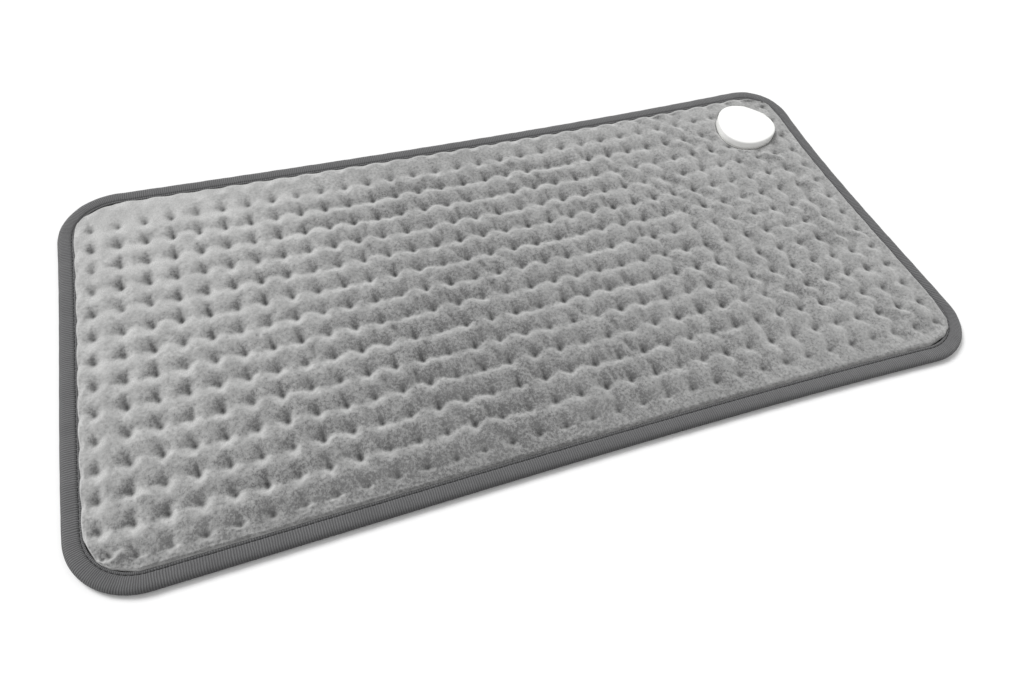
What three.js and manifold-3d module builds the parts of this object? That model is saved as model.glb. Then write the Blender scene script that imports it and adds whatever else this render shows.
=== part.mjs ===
// Quilted electric heating pad with a one-button controller clamped through one corner.
// Millimetres, +Z up. The pad lies flat with its long side along X and its underside at z = 0.

import * as THREE from 'three';
import { mergeVertices } from 'three/addons/utils/BufferGeometryUtils.js';
import Module from 'manifold-3d';

const wasm = await Module();
wasm.setup();

// Pad outline: a rounded rectangle whose sides draw in where the quilting takes up the cloth.
// A lean is how much more a side draws in towards its far or right-hand end.
const padLength = 600;
const padWidth = 306;
const cornerRadius = 42;
const farBow = 6.5;
const farLean = 1.5;
const nearBow = 4.1;
const nearLean = 2.2;
const rightBow = 6.3;
const rightLean = 5.1;
const leftLean = 2.5;

// Quilting: spot-sewn tufts in a grid that was cut slightly off the grain.
const tuftColumns = 32;
const tuftRows = 14;
const tuftEndGap = 22.2;
const tuftSideGap = 28.8;
const tuftShiftX = -1;
const tuftShiftY = -4.9;
const cornerTuftGap = 5;
const rowSlopeShare = 0.0169;
const columnSlopeShare = 0.0143;

const tuftPitchX = (padLength - tuftEndGap * 2) / (tuftColumns - 1);
const tuftPitchY = (padWidth - tuftSideGap * 2) / (tuftRows - 1);

// Heights of the stack, counted up from the surface that the pad lies on.
const layerGap = 0.2;
const tapeThickness = 5.6;
const tapeWall = 0.8;
const tapeWidth = 11.5;
const tapeNoseDepth = 4.4;
const backCrownHeight = 0.15;
const backDipHeight = 1.2;
const backCoverTop = 2;
const waddingThickness = 0.6;
const heaterSheetThickness = 0.3;
const wireDiameter = 1.4;
const coverThicknessAtDip = 0.5;
const puffRise = 2.6;
const edgePuffRise = 2.1;
const tuckedHeight = 4.6;
const flangeInset = 4.5;
const flangeThickness = 1.4;
const flangeGap = 0.4;
const rimTuck = 0.6;

const backWaddingBottom = backCoverTop + layerGap;
const heaterSheetBottom = backWaddingBottom + waddingThickness + layerGap;
const wireBottom = heaterSheetBottom + heaterSheetThickness + layerGap;
const wireAxisHeight = wireBottom + wireDiameter / 2;
const frontWaddingBottom = wireBottom + wireDiameter + layerGap;
const frontCoverBottom = frontWaddingBottom + waddingThickness + layerGap;
const frontDipHeight = frontCoverBottom + coverThicknessAtDip;

// Heated area: the inner layers stop short of the edge tape.
const heaterEndMargin = 29;
const heaterSideMargin = 43;
const heaterCornerRadius = 24;
const heaterEdge = 7;
const heaterRows = 12;
const outerRowMargin = 5.2;
const shortRows = 3;
const controllerClear = 26;
const returnSpacing = 8;
const returnBend = 7.5;

const heaterLength = padLength - heaterEndMargin * 2;
const heaterWidth = padWidth - heaterSideMargin * 2;
const heaterRowPitch = (heaterWidth - outerRowMargin * 2) / (heaterRows - 1);

// Controller: a rounded three-sided pod, its cord socket facing the corner of the pad.
const podFromEnd = 58.1;
const podFromSide = 54.2;
const podTurn = THREE.MathUtils.degToRad(44.4);
const podRadius = 24.4;
const podLobe = 1.1;
const podTop = 13.8;
const podEdgeRadius = 1.3;
const podClearance = 0.6;
const runningGap = 0.4;
const pressTravel = 0.5;
const stopGap = 0.3;
const capTopWall = 1.2;
const capSkirtWall = 1.3;
const floorWall = 1;
const upstandWall = 1.2;
const capSkirtLift = 0.7;
const throatRadius = 15.5;
const throatWall = 1.2;
const throatGap = 0.4;
const wireHoleRadius = 6.5;
const pressedThickness = 0.45;

const podX = padLength / 2 - podFromEnd;
const podY = padWidth / 2 - podFromSide;

const noseWidth = 26;
const noseStand = 2;
const noseCornerRadius = 3.5;
const noseEdge = 0.4;
const noseWall = 0.8;
const noseSideGap = 0.5;
const plugRoom = 13;
const slotWidth = 13;
const socketBack = 13.5;
const pinDiameter = 1.2;
const pinSpacing = 4.4;
const pinCount = 3;
const pinReach = 4.5;
const insertDepth = 4;
const insertMargin = 1.5;
const housingWall = 1.5;
const fitGap = 0.3;

const noseReach = podRadius - podLobe + noseStand;

const bossRadius = 2.2;
const bossCircle = 12.4;
const bossCount = 3;
const screwRadius = 1;
const screwHeadRadius = 2;
const screwTipCover = 1;
const driveSlotWidth = 0.5;
const driveSlotDepth = 0.4;
const clampPlateRadius = 19.5;
const clampPlateBottom = 0.15;
const clampPlateThickness = 1.05;
const clampPressedGap = 0.2;

const boardThickness = 0.8;
const boardMargin = 1;
const boardLift = 1;
const pegRadius = 0.8;
const pegHeight = 1.4;
const switchSide = 6;
const switchHeight = 1.5;
const plungerRadius = 1.7;
const plungerLength = 1;
const plungerStand = 0.55;
const capBossGap = 0.1;
const capBossWall = 1;
const hookWidth = 6;
const hookHeight = 0.9;
const hookReach = 0.8;
const hookCount = 3;
const chipLength = 5;
const chipWidth = 4;
const chipHeight = 0.9;
const triacLength = 6.5;
const triacWidth = 5.5;
const triacHeight = 1.6;
const ledSide = 1.6;
const ledHeight = 0.7;
const partSpread = 7.6;

const leadDiameter = 1.2;
const leadSpacing = 3;
const leadBend = 3;
const leadStops = 22;
const cutoutLength = 14;
const cutoutWidth = 5;
const cutoutHeight = 2.2;
const cutoutChamfer = 0.5;
const windowGap = 0.4;
const sensorLength = 5;
const sensorPlace = 60;
const neutralEntry = THREE.MathUtils.degToRad(-40);
const westEntry = Math.PI;

// How far a cut runs past what it cuts, and how deep joined pieces run into each other.
const overrun = 2;
const joinDepth = 0.5;

// Facet counts.
const tapeCornerSteps = 6;
const tapeLongSteps = 12;
const tapeShortSteps = 6;
const tapeNoseSteps = 6;
const podSides = 48;
const roundSides = 24;
const wireSides = 6;
const turnSteps = 6;
const seatSides = 24;
const edgeSteps = 3;
const undersideStep = 6;
const flangeStep = 3;

const halfLength = padLength / 2;
const halfWidth = padWidth / 2;
const fullTurn = Math.PI * 2;

const toneCover = 0xa9a9a8;
const toneTape = 0x5f5f60;
const toneWadding = 0xe6e4de;
const toneSheet = 0xd8d6cc;
const toneWire = 0xc7a24a;
const toneShell = 0xf2f2f0;
const toneShade = 0xdcdcda;
const toneBoard = 0x1f5a36;
const toneDark = 0x1c1c1e;
const toneMetal = 0xb9bbbd;
const toneBrass = 0xb8924a;
const toneRed = 0x9c2b24;
const toneBlue = 0x2c4a86;
const toneLamp = 0xd9e6d2;

const clothRoughness = 0.95;
const plasticRoughness = 0.42;
const metalRoughness = 0.3;

// Moves a point of the plain rounded rectangle to where the drawn-in pad has it.
function drawnIn(x, y) {
  const u = x / halfLength;
  const v = y / halfWidth;
  const midX = 1 - u * u;
  const midY = 1 - v * v;
  const fromLeft = leftLean * v * midY * (1 - u) / 2;
  const fromRight = (rightBow + rightLean * v) * midY * (1 + u) / 2;
  const fromNear = (nearBow + nearLean * u) * midX * (1 - v) / 2;
  const fromFar = (farBow + farLean * u) * midX * (1 + v) / 2;
  return new THREE.Vector2(x + fromLeft - fromRight, y + fromNear - fromFar);
}

// Points round a plain rounded rectangle, counter-clockwise from above.
function outlinePoints(halfX, halfY, radius, cornerSteps, longSteps, shortSteps) {
  const corners = [[1, 1], [-1, 1], [-1, -1], [1, -1]];
  const points = [];
  corners.forEach(([signX, signY], index) => {
    for (let step = 0; step <= cornerSteps; step += 1) {
      const angle = (index + step / cornerSteps) * Math.PI / 2;
      const x = signX * (halfX - radius) + radius * Math.cos(angle);
      const y = signY * (halfY - radius) + radius * Math.sin(angle);
      points.push([x, y]);
    }
    const [nextX, nextY] = corners[(index + 1) % corners.length];
    const alongX = index % 2 === 0;
    const steps = alongX ? longSteps : shortSteps;
    const start = points[points.length - 1];
    const end = alongX
      ? [nextX * (halfX - radius), start[1]]
      : [start[0], nextY * (halfY - radius)];
    for (let step = 1; step < steps; step += 1) {
      const share = step / steps;
      points.push([
        THREE.MathUtils.lerp(start[0], end[0], share),
        THREE.MathUtils.lerp(start[1], end[1], share),
      ]);
    }
  });
  return points.map(([x, y]) => new THREE.Vector2(x, y));
}

function padOutline(inset) {
  return outlinePoints(
    halfLength - inset,
    halfWidth - inset,
    cornerRadius - inset,
    tapeCornerSteps,
    tapeLongSteps,
    tapeShortSteps,
  ).map(({ x, y }) => drawnIn(x, y));
}

// Collects the corners and triangles of one closed body.
class Skin {
  constructor(flipped = false) {
    this.positions = [];
    this.triangles = [];
    this.flipped = flipped;
  }

  corner(x, y, z) {
    this.positions.push(x, y, z);
    return this.positions.length / 3 - 1;
  }

  face(a, b, c) {
    if (this.flipped) {
      this.triangles.push(a, c, b);
    } else {
      this.triangles.push(a, b, c);
    }
  }

  geometry() {
    const geometry = new THREE.BufferGeometry();
    geometry.setAttribute('position', new THREE.Float32BufferAttribute(this.positions, 3));
    geometry.setIndex(this.triangles);
    return geometry;
  }
}

// A ring-shaped body: each row of `rings` is the whole loop at one point of the closed section.
function ringBody(rings) {
  const skin = new Skin();
  const loops = rings.map((ring) => ring.map((point) => skin.corner(point.x, point.y, point.z)));
  loops.forEach((loop, row) => {
    const next = loops[(row + 1) % loops.length];
    loop.forEach((corner, index) => {
      const after = (index + 1) % loop.length;
      skin.face(corner, loop[after], next[after]);
      skin.face(corner, next[after], next[index]);
    });
  });
  return skin.geometry();
}

// A solid body lofted through loops from bottom to top, closed by a flat face at each end.
function loftBody(rings) {
  const skin = new Skin();
  const loops = rings.map((ring) => ring.map((point) => skin.corner(point.x, point.y, point.z)));
  for (let row = 0; row + 1 < loops.length; row += 1) {
    loops[row].forEach((corner, index) => {
      const after = (index + 1) % loops[row].length;
      skin.face(corner, loops[row][after], loops[row + 1][after]);
      skin.face(corner, loops[row + 1][after], loops[row + 1][index]);
    });
  }
  const first = loops[0];
  const last = loops[loops.length - 1];
  for (let index = 1; index + 1 < first.length; index += 1) {
    skin.face(first[0], first[index + 1], first[index]);
    skin.face(last[0], last[index], last[index + 1]);
  }
  return skin.geometry();
}

function toManifold(geometry) {
  const bare = geometry.clone();
  bare.deleteAttribute('normal');
  bare.deleteAttribute('uv');
  const merged = mergeVertices(bare);
  return new wasm.Manifold(new wasm.Mesh({
    numProp: 3,
    vertProperties: new Float32Array(merged.attributes.position.array),
    triVerts: new Uint32Array(merged.index.array),
  }));
}

function toGeometry(manifold) {
  const mesh = manifold.getMesh();
  const geometry = new THREE.BufferGeometry();
  geometry.setAttribute('position', new THREE.BufferAttribute(mesh.vertProperties, 3));
  geometry.setIndex(new THREE.BufferAttribute(mesh.triVerts, 1));
  return geometry;
}

function joined(base, additions) {
  return additions.reduce((solid, piece) => solid.add(toManifold(piece)), base);
}

function cut(base, tools) {
  return tools.reduce((solid, piece) => solid.subtract(toManifold(piece)), base);
}

// Upright cylinder from one height to another.
function post(radius, bottom, top, x = 0, y = 0, sides = roundSides) {
  const geometry = new THREE.CylinderGeometry(radius, radius, top - bottom, sides);
  geometry.rotateX(Math.PI / 2);
  geometry.translate(x, y, (top + bottom) / 2);
  return geometry;
}

// Box between two heights, centred on a place in the plan.
function block(sizeX, sizeY, bottom, top, x = 0, y = 0) {
  const geometry = new THREE.BoxGeometry(sizeX, sizeY, top - bottom);
  geometry.translate(x, y, (top + bottom) / 2);
  return geometry;
}

// A block with its four top edges bevelled, as small moulded bodies have.
function chamferedBlock(sizeX, sizeY, bottom, top, chamfer, x = 0, y = 0) {
  const loop = (inset, height) => [[1, 1], [-1, 1], [-1, -1], [1, -1]].map(([signX, signY]) => (
    new THREE.Vector3(x + signX * (sizeX / 2 - inset), y + signY * (sizeY / 2 - inset), height)
  ));
  return loftBody([loop(0, bottom), loop(0, top - chamfer), loop(chamfer, top)]);
}

// Tufted cover. The outer face has a dip at each tuft and a puff in each cell between them;
// its rim is tucked into the edge tape as a thin flange.
const lastColumn = tuftColumns + 1;
const lastRow = tuftRows + 1;
const ringStations = (lastColumn + lastRow) * 2;
const arcCentreX = halfLength - cornerRadius;
const arcCentreY = halfWidth - cornerRadius;

// Place of one tuft. In the round corners the tufts are kept clear of the tape.
function tuft(column, row) {
  const acrossX = tuftPitchX * (column - lastColumn / 2);
  const acrossY = -tuftPitchY * (row - lastRow / 2);
  const x = tuftShiftX + acrossX + acrossY * columnSlopeShare;
  const y = tuftShiftY + acrossY + acrossX * rowSlopeShare;
  const pastX = Math.abs(x) - arcCentreX;
  const pastY = Math.abs(y) - arcCentreY;
  const reach = cornerRadius - tapeWidth - cornerTuftGap;
  if (pastX <= 0 || pastY <= 0 || Math.hypot(pastX, pastY) <= reach) return [x, y];
  const share = reach / Math.hypot(pastX, pastY);
  return [
    Math.sign(x) * (arcCentreX + pastX * share),
    Math.sign(y) * (arcCentreY + pastY * share),
  ];
}

function edgeAcross(place, arcCentre, crossCentre, inset) {
  const radius = cornerRadius - inset;
  const past = Math.max(Math.abs(place) - arcCentre, 0);
  return crossCentre + Math.sqrt(radius * radius - past * past);
}

// Where a grid line of the quilting meets the outline at the given inset.
function rimPoint(column, row, inset) {
  const onSide = column === 0 || column === lastColumn;
  const onEnd = row === 0 || row === lastRow;
  const signX = column === 0 ? -1 : 1;
  const signY = row === 0 ? 1 : -1;
  if (onSide && onEnd) {
    const along = rimPoint(column === 0 ? 1 : column - 1, row, inset);
    const down = rimPoint(column, row === 0 ? 1 : row - 1, inset);
    const angles = [along, down].map(([x, y]) => (
      Math.atan2(Math.abs(y) - arcCentreY, Math.abs(x) - arcCentreX)
    ));
    const angle = (angles[0] + angles[1]) / 2;
    const radius = cornerRadius - inset;
    return [
      signX * (arcCentreX + radius * Math.cos(angle)),
      signY * (arcCentreY + radius * Math.sin(angle)),
    ];
  }
  if (onEnd) {
    const [x] = tuft(column, row === 0 ? 1 : tuftRows);
    return [x, signY * edgeAcross(x, arcCentreX, arcCentreY, inset)];
  }
  const [, y] = tuft(column === 0 ? 1 : tuftColumns, row);
  return [signX * edgeAcross(y, arcCentreY, arcCentreX, inset), y];
}

// The grid node at each station round the rim, clockwise from the far left corner.
function rimNode(station) {
  if (station <= lastColumn) return [station, 0];
  if (station <= lastColumn + lastRow) return [lastColumn, station - lastColumn];
  if (station <= lastColumn * 2 + lastRow) return [lastColumn * 2 + lastRow - station, lastRow];
  return [0, ringStations - station];
}

// Joins an inner and an outer loop of corners, each with its station round the rim.
function zipLoops(skin, inner, outer, reversed) {
  const stationOf = (loop, index) => (
    loop[index % loop.length].station + (index >= loop.length ? ringStations : 0)
  );
  const cornerOf = (loop, index) => loop[index % loop.length].corner;
  let a = 0;
  let b = 0;
  while (a < inner.length || b < outer.length) {
    const outerNext = b < outer.length && (
      a >= inner.length || stationOf(outer, b + 1) <= stationOf(inner, a + 1)
    );
    const from = cornerOf(inner, a);
    const across = cornerOf(outer, b);
    const to = outerNext ? cornerOf(outer, b + 1) : cornerOf(inner, a + 1);
    if (reversed) {
      skin.face(from, across, to);
    } else {
      skin.face(from, to, across);
    }
    if (outerNext) {
      b += 1;
    } else {
      a += 1;
    }
  }
}

function tuftedCover({ dip, crown, edgeCrown, rim, flangeOuter, flangeInner, inner, flipped }) {
  const skin = new Skin(flipped);
  const place = ([x, y], z) => {
    const point = drawnIn(x, y);
    return skin.corner(point.x, point.y, z);
  };
  const nodes = [];
  for (let row = 0; row <= lastRow; row += 1) {
    nodes.push([]);
    for (let column = 0; column <= lastColumn; column += 1) {
      const onRim = row % lastRow === 0 || column % lastColumn === 0;
      const flat = onRim ? rimPoint(column, row, tapeWidth + rimTuck) : tuft(column, row);
      nodes[row].push({ flat, corner: place(flat, onRim ? rim : dip) });
    }
  }
  for (let row = 0; row < lastRow; row += 1) {
    for (let column = 0; column < lastColumn; column += 1) {
      const loop = [
        nodes[row][column],
        nodes[row + 1][column],
        nodes[row + 1][column + 1],
        nodes[row][column + 1],
      ];
      const middle = [0, 1].map((axis) => loop.reduce((sum, node) => sum + node.flat[axis], 0) / 4);
      const atEdge = row % tuftRows === 0 || column % tuftColumns === 0;
      const peak = place(middle, atEdge ? edgeCrown : crown);
      loop.forEach((node, index) => skin.face(node.corner, loop[(index + 1) % 4].corner, peak));
    }
  }
  const rimLoop = [];
  const flangeTop = [];
  const flangeBottom = [];
  const innerLoop = [];
  const innerPlan = [];
  for (let station = 0; station < ringStations; station += 1) {
    const [column, row] = rimNode(station);
    rimLoop.push({ station, corner: nodes[row][column].corner });
    if (station % flangeStep === 0) {
      const flat = rimPoint(column, row, flangeInset);
      flangeTop.push({ station, corner: place(flat, flangeOuter) });
      flangeBottom.push({ station, corner: place(flat, flangeInner) });
    }
    const onCorner = column % lastColumn === 0 && row % lastRow === 0;
    const turning = (column % lastColumn === 0 ? row : column) % undersideStep === 1;
    const nearCorner = column === tuftColumns || (column === lastColumn && row === tuftRows);
    if (!onCorner && (turning || nearCorner)) {
      const innerColumn = THREE.MathUtils.clamp(column, 1, tuftColumns);
      const innerRow = THREE.MathUtils.clamp(row, 1, tuftRows);
      const flat = tuft(innerColumn, innerRow);
      const repeated = innerPlan.some((other) => other[0] === flat[0] && other[1] === flat[1]);
      if (!repeated) {
        innerPlan.push(flat);
        innerLoop.push({ station, corner: place(flat, inner) });
      }
    }
  }
  zipLoops(skin, rimLoop, flangeTop, false);
  flangeTop.forEach(({ corner }, index) => {
    const after = (index + 1) % flangeTop.length;
    skin.face(corner, flangeTop[after].corner, flangeBottom[index].corner);
    skin.face(flangeTop[after].corner, flangeBottom[after].corner, flangeBottom[index].corner);
  });
  zipLoops(skin, innerLoop, flangeBottom, true);
  const centre = place(tuft(lastColumn / 2, lastRow / 2), inner);
  innerLoop.forEach(({ corner }, index) => {
    skin.face(centre, corner, innerLoop[(index + 1) % innerLoop.length].corner);
  });
  return skin.geometry();
}

// Plan of the controller, as a loop at one height. A negative offset is inside the pod's wall.
function podLoop(offset, height, sides = podSides) {
  return Array.from({ length: sides }, (_, index) => {
    const angle = index / sides * fullTurn;
    const radius = podWall(angle) + offset;
    return new THREE.Vector3(radius * Math.cos(angle), radius * Math.sin(angle), height);
  });
}

function podWall(angle) {
  return podRadius - podLobe * Math.cos(3 * angle);
}

function podPrism(offset, bottom, top, sides = podSides) {
  return loftBody([podLoop(offset, bottom, sides), podLoop(offset, top, sides)]);
}

// Plan of the nose at one height: it leaves the pod square and has rounded outer corners.
function noseLoop(inset, height) {
  const reach = noseReach - inset - noseCornerRadius;
  const half = noseWidth / 2 - inset;
  const corners = [-1, 1].flatMap((side) => Array.from({ length: edgeSteps + 1 }, (_, step) => {
    const angle = (step / edgeSteps + (side - 1) / 2) * Math.PI / 2;
    return new THREE.Vector3(
      reach + noseCornerRadius * Math.cos(angle),
      side * (half - noseCornerRadius) + noseCornerRadius * Math.sin(angle),
      height,
    );
  }));
  return [new THREE.Vector3(0, -half, height), ...corners, new THREE.Vector3(0, half, height)];
}

// Box set square to the pod's axis at one angle, between two distances from that axis.
function radialBlock(near, far, width, bottom, top, angle) {
  const geometry = block(far - near, width, bottom, top, (near + far) / 2);
  geometry.rotateZ(angle);
  return geometry;
}

function inPodPlace(geometry) {
  const turned = geometry.clone();
  turned.rotateZ(podTurn);
  turned.translate(podX, podY, 0);
  return turned;
}

const pressedTop = frontCoverBottom + pressedThickness;
const baseBottom = pressedTop + layerGap;
const baseFloorTop = baseBottom + floorWall;
const skirtBottom = baseFloorTop + capSkirtLift;
const capUnderside = podTop - capTopWall;
const upstandTop = capUnderside - pressTravel - stopGap;
const noseTop = upstandTop;
const slotTop = noseTop - noseWall;
const slotDepth = noseReach - socketBack;
const upstandOffset = -capSkirtWall - runningGap;
const clampPlateTop = clampPlateBottom + clampPlateThickness;
const throatBottom = clampPlateTop + layerGap;
const boardBottom = baseFloorTop + boardLift;
const boardTop = boardBottom + boardThickness;
const switchTop = boardTop + switchHeight;
const plungerTop = switchTop + plungerStand;
const plungerBottom = plungerTop - plungerLength;
const bossAngles = Array.from({ length: bossCount }, (_, index) => (
  (index + 1 / 2) / bossCount * fullTurn
));
const hookAngles = Array.from({ length: hookCount }, (_, index) => (
  (index + 1) / (hookCount + 1) * fullTurn
));

function frontCover() {
  const cover = tuftedCover({
    dip: frontDipHeight,
    crown: frontDipHeight + puffRise,
    edgeCrown: frontDipHeight + edgePuffRise,
    rim: tuckedHeight,
    flangeOuter: tuckedHeight - layerGap,
    flangeInner: tuckedHeight - layerGap - flangeThickness,
    inner: frontCoverBottom,
    flipped: false,
  });
  const seat = podPrism(podClearance, pressedTop, podTop, seatSides);
  const noseSeat = block(
    noseReach + plugRoom,
    noseWidth + podClearance * 2,
    pressedTop,
    podTop,
    (noseReach + plugRoom) / 2,
  );
  const throat = post(throatRadius + throatGap, 0, podTop);
  return toGeometry(cut(toManifold(cover), [seat, noseSeat, throat].map(inPodPlace)));
}

function backCover() {
  const tapeFloor = tapeWall + layerGap;
  const cover = tuftedCover({
    dip: backDipHeight,
    crown: backCrownHeight,
    edgeCrown: backCrownHeight,
    rim: tapeFloor,
    flangeOuter: tapeFloor + layerGap,
    flangeInner: tuckedHeight - layerGap - flangeThickness - flangeGap,
    inner: backCoverTop,
    flipped: true,
  });
  const plateSeat = post(clampPlateRadius + throatGap, -overrun, clampPlateTop + clampPressedGap);
  const throat = post(throatRadius + throatGap, -overrun, podTop);
  return toGeometry(cut(toManifold(cover), [plateSeat, throat].map(inPodPlace)));
}

// Flat inner layer with any windows, slotted from the pad's corner for the controller's throat.
function innerLayer(bottom, thickness, windows = []) {
  const outline = outlinePoints(
    heaterLength / 2,
    heaterWidth / 2,
    heaterCornerRadius,
    tapeCornerSteps,
    1,
    1,
  );
  const sheet = new THREE.ExtrudeGeometry(new THREE.Shape(outline), {
    depth: thickness,
    bevelEnabled: false,
  });
  sheet.translate(0, 0, bottom);
  const slotLength = podFromEnd + podFromSide;
  const slotEnd = post(throatRadius + throatGap, 0, podTop);
  const slot = block(slotLength, (throatRadius + throatGap) * 2, 0, podTop, slotLength / 2);
  const openings = windows.map(({ x, y, sizeX, sizeY }) => (
    block(sizeX + windowGap * 2, sizeY + windowGap * 2, 0, podTop, x, y)
  ));
  const tools = [inPodPlace(slotEnd), inPodPlace(slot), ...openings];
  return toGeometry(cut(toManifold(sheet), tools));
}

// Folded edge tape: a U-shaped section, open towards the middle of the pad.
function bindingTape() {
  const nose = (depth, halfHeight, inset) => (
    Array.from({ length: tapeNoseSteps + 1 }, (_, step) => {
      const angle = Math.PI / 2 - step / tapeNoseSteps * Math.PI;
      return [
        inset + depth * (1 - Math.cos(angle)),
        tapeThickness / 2 + halfHeight * Math.sin(angle),
      ];
    })
  );
  const outer = nose(tapeNoseDepth, tapeThickness / 2, 0);
  const inner = nose(tapeNoseDepth - tapeWall, tapeThickness / 2 - tapeWall, tapeWall);
  const section = [
    [tapeWidth, tapeThickness],
    ...outer,
    [tapeWidth, 0],
    [tapeWidth, tapeWall],
    ...inner.reverse(),
    [tapeWidth, tapeThickness - tapeWall],
  ];
  const rings = section.map(([inset, height]) => (
    padOutline(inset).map((point) => new THREE.Vector3(point.x, point.y, height))
  ));
  return ringBody(rings.reverse());
}

// A path through hand-set stops, whose steps fall on the stops and not at even spacing.
class StopPath extends THREE.Curve {
  constructor(stops) {
    super();
    this.stops = stops;
  }

  getPoint(share, target = new THREE.Vector3()) {
    const place = THREE.MathUtils.clamp(share, 0, 1) * (this.stops.length - 1);
    const index = Math.min(Math.floor(place), this.stops.length - 2);
    return target.lerpVectors(this.stops[index], this.stops[index + 1], place - index);
  }

  getUtoTmapping(share) {
    return share;
  }
}

// Round wire through the stops.
function tube(stops, diameter) {
  const section = new THREE.Shape(Array.from({ length: wireSides }, (_, index) => {
    const angle = index / wireSides * fullTurn;
    return new THREE.Vector2(
      diameter / 2 * Math.cos(angle),
      diameter / 2 * Math.sin(angle),
    );
  }));
  return new THREE.ExtrudeGeometry(section, {
    steps: stops.length - 1,
    bevelEnabled: false,
    extrudePath: new StopPath(stops),
  });
}

// Stops along an arc in the heater's plane.
function arcStops(x, y, radius, start, end, steps) {
  return Array.from({ length: steps + 1 }, (_, step) => {
    const angle = THREE.MathUtils.lerp(start, end, step / steps);
    return new THREE.Vector3(
      x + radius * Math.cos(angle),
      y + radius * Math.sin(angle),
      wireAxisHeight,
    );
  });
}

const firstRowY = heaterWidth / 2 - outerRowMargin;
const turnRadius = heaterRowPitch / 2;
const returnX = heaterLength / 2 - heaterEdge;
const leftTurnX = -(heaterLength / 2 - heaterEdge - turnRadius);
const rightTurnX = returnX - returnSpacing - turnRadius;
const shortTurnX = podX - throatRadius - controllerClear;
const cutoutSpots = [
  {
    x: shortTurnX + fitGap + cutoutLength / 2,
    y: firstRowY,
    sizeX: cutoutLength,
    sizeY: cutoutWidth,
  },
  {
    x: returnX,
    y: podY - throatRadius - controllerClear + cutoutLength / 2,
    sizeX: cutoutWidth,
    sizeY: cutoutLength,
  },
];

// Heating wire: short rows beside the controller, full rows below it, and one run back.
function heatingWire() {
  const stops = [new THREE.Vector3(shortTurnX, firstRowY, wireAxisHeight)];
  for (let row = 0; row + 1 < heaterRows; row += 1) {
    const middleY = firstRowY - heaterRowPitch * (row + 1 / 2);
    const quarter = Math.PI / 2;
    if (row % 2 === 0) {
      stops.push(...arcStops(leftTurnX, middleY, turnRadius, quarter, quarter * 3, turnSteps));
    } else {
      const turnX = row < shortRows ? shortTurnX : rightTurnX;
      stops.push(...arcStops(turnX, middleY, turnRadius, quarter, -quarter, turnSteps));
    }
  }
  const bendX = returnX - returnBend;
  const bendY = -firstRowY + returnBend;
  stops.push(...arcStops(bendX, bendY, returnBend, -Math.PI / 2, 0, turnSteps / 2));
  const end = cutoutSpots[1].y - cutoutLength / 2 - fitGap;
  stops.push(new THREE.Vector3(returnX, end, wireAxisHeight));
  return tube(stops, wireDiameter);
}

// Lead from a point in the heater's plane, through the throat's notch and up to the board.
function leadWire(plan, entryAngle, entrySide) {
  const along = new THREE.Vector2(Math.cos(entryAngle), Math.sin(entryAngle));
  const aside = new THREE.Vector2(-along.y, along.x);
  const inPlan = (distance) => new THREE.Vector2(podX, podY)
    .addScaledVector(along, distance)
    .addScaledVector(aside, entrySide);
  const outside = inPlan(throatRadius + leadBend);
  const inside = inPlan(throatRadius - throatWall - leadBend);
  const foot = inPlan(leadDiameter * 2);
  const level = [...plan, outside, inside].map((point) => (
    new THREE.Vector3(point.x, point.y, wireAxisHeight)
  ));
  const elbow = inPlan(leadDiameter * 2 + leadBend / 2);
  const turning = new THREE.Vector3(elbow.x, elbow.y, wireAxisHeight + leadBend / 8);
  const rising = new THREE.Vector3(foot.x, foot.y, wireAxisHeight + leadBend * 2 / 3);
  const top = new THREE.Vector3(foot.x, foot.y, boardBottom - fitGap);
  const curve = new THREE.CatmullRomCurve3([...level, turning, rising, top], false, 'centripetal');
  return tube(curve.getSpacedPoints(leadStops), leadDiameter);
}

function liveLead() {
  const startX = cutoutSpots[0].x + cutoutLength / 2 + fitGap;
  const midX = (startX + podX - throatRadius - leadBend) / 2;
  const start = new THREE.Vector2(startX, firstRowY);
  const middle = new THREE.Vector2(midX, (firstRowY + podY + leadSpacing) / 2);
  return leadWire([start, middle], westEntry, -leadSpacing);
}

function sensorLead() {
  const channelY = firstRowY - heaterRowPitch / 2;
  const start = new THREE.Vector2(sensorPlace + sensorLength / 2 + fitGap, channelY);
  const middle = new THREE.Vector2(shortTurnX, channelY);
  return leadWire([start, middle], westEntry, 0);
}

function neutralLead() {
  const start = new THREE.Vector2(returnX, cutoutSpots[1].y + cutoutLength / 2 + fitGap);
  return leadWire([start], neutralEntry, 0);
}

function temperatureSensor() {
  const geometry = new THREE.CapsuleGeometry(
    wireDiameter / 2,
    sensorLength - wireDiameter,
    turnSteps / 2,
    roundSides / 2,
  );
  geometry.rotateZ(Math.PI / 2);
  geometry.translate(sensorPlace, firstRowY - heaterRowPitch / 2, wireAxisHeight);
  return geometry;
}

function thermalCutout({ x, y, sizeX, sizeY }) {
  return chamferedBlock(sizeX, sizeY, wireBottom, wireBottom + cutoutHeight, cutoutChamfer, x, y);
}

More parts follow.
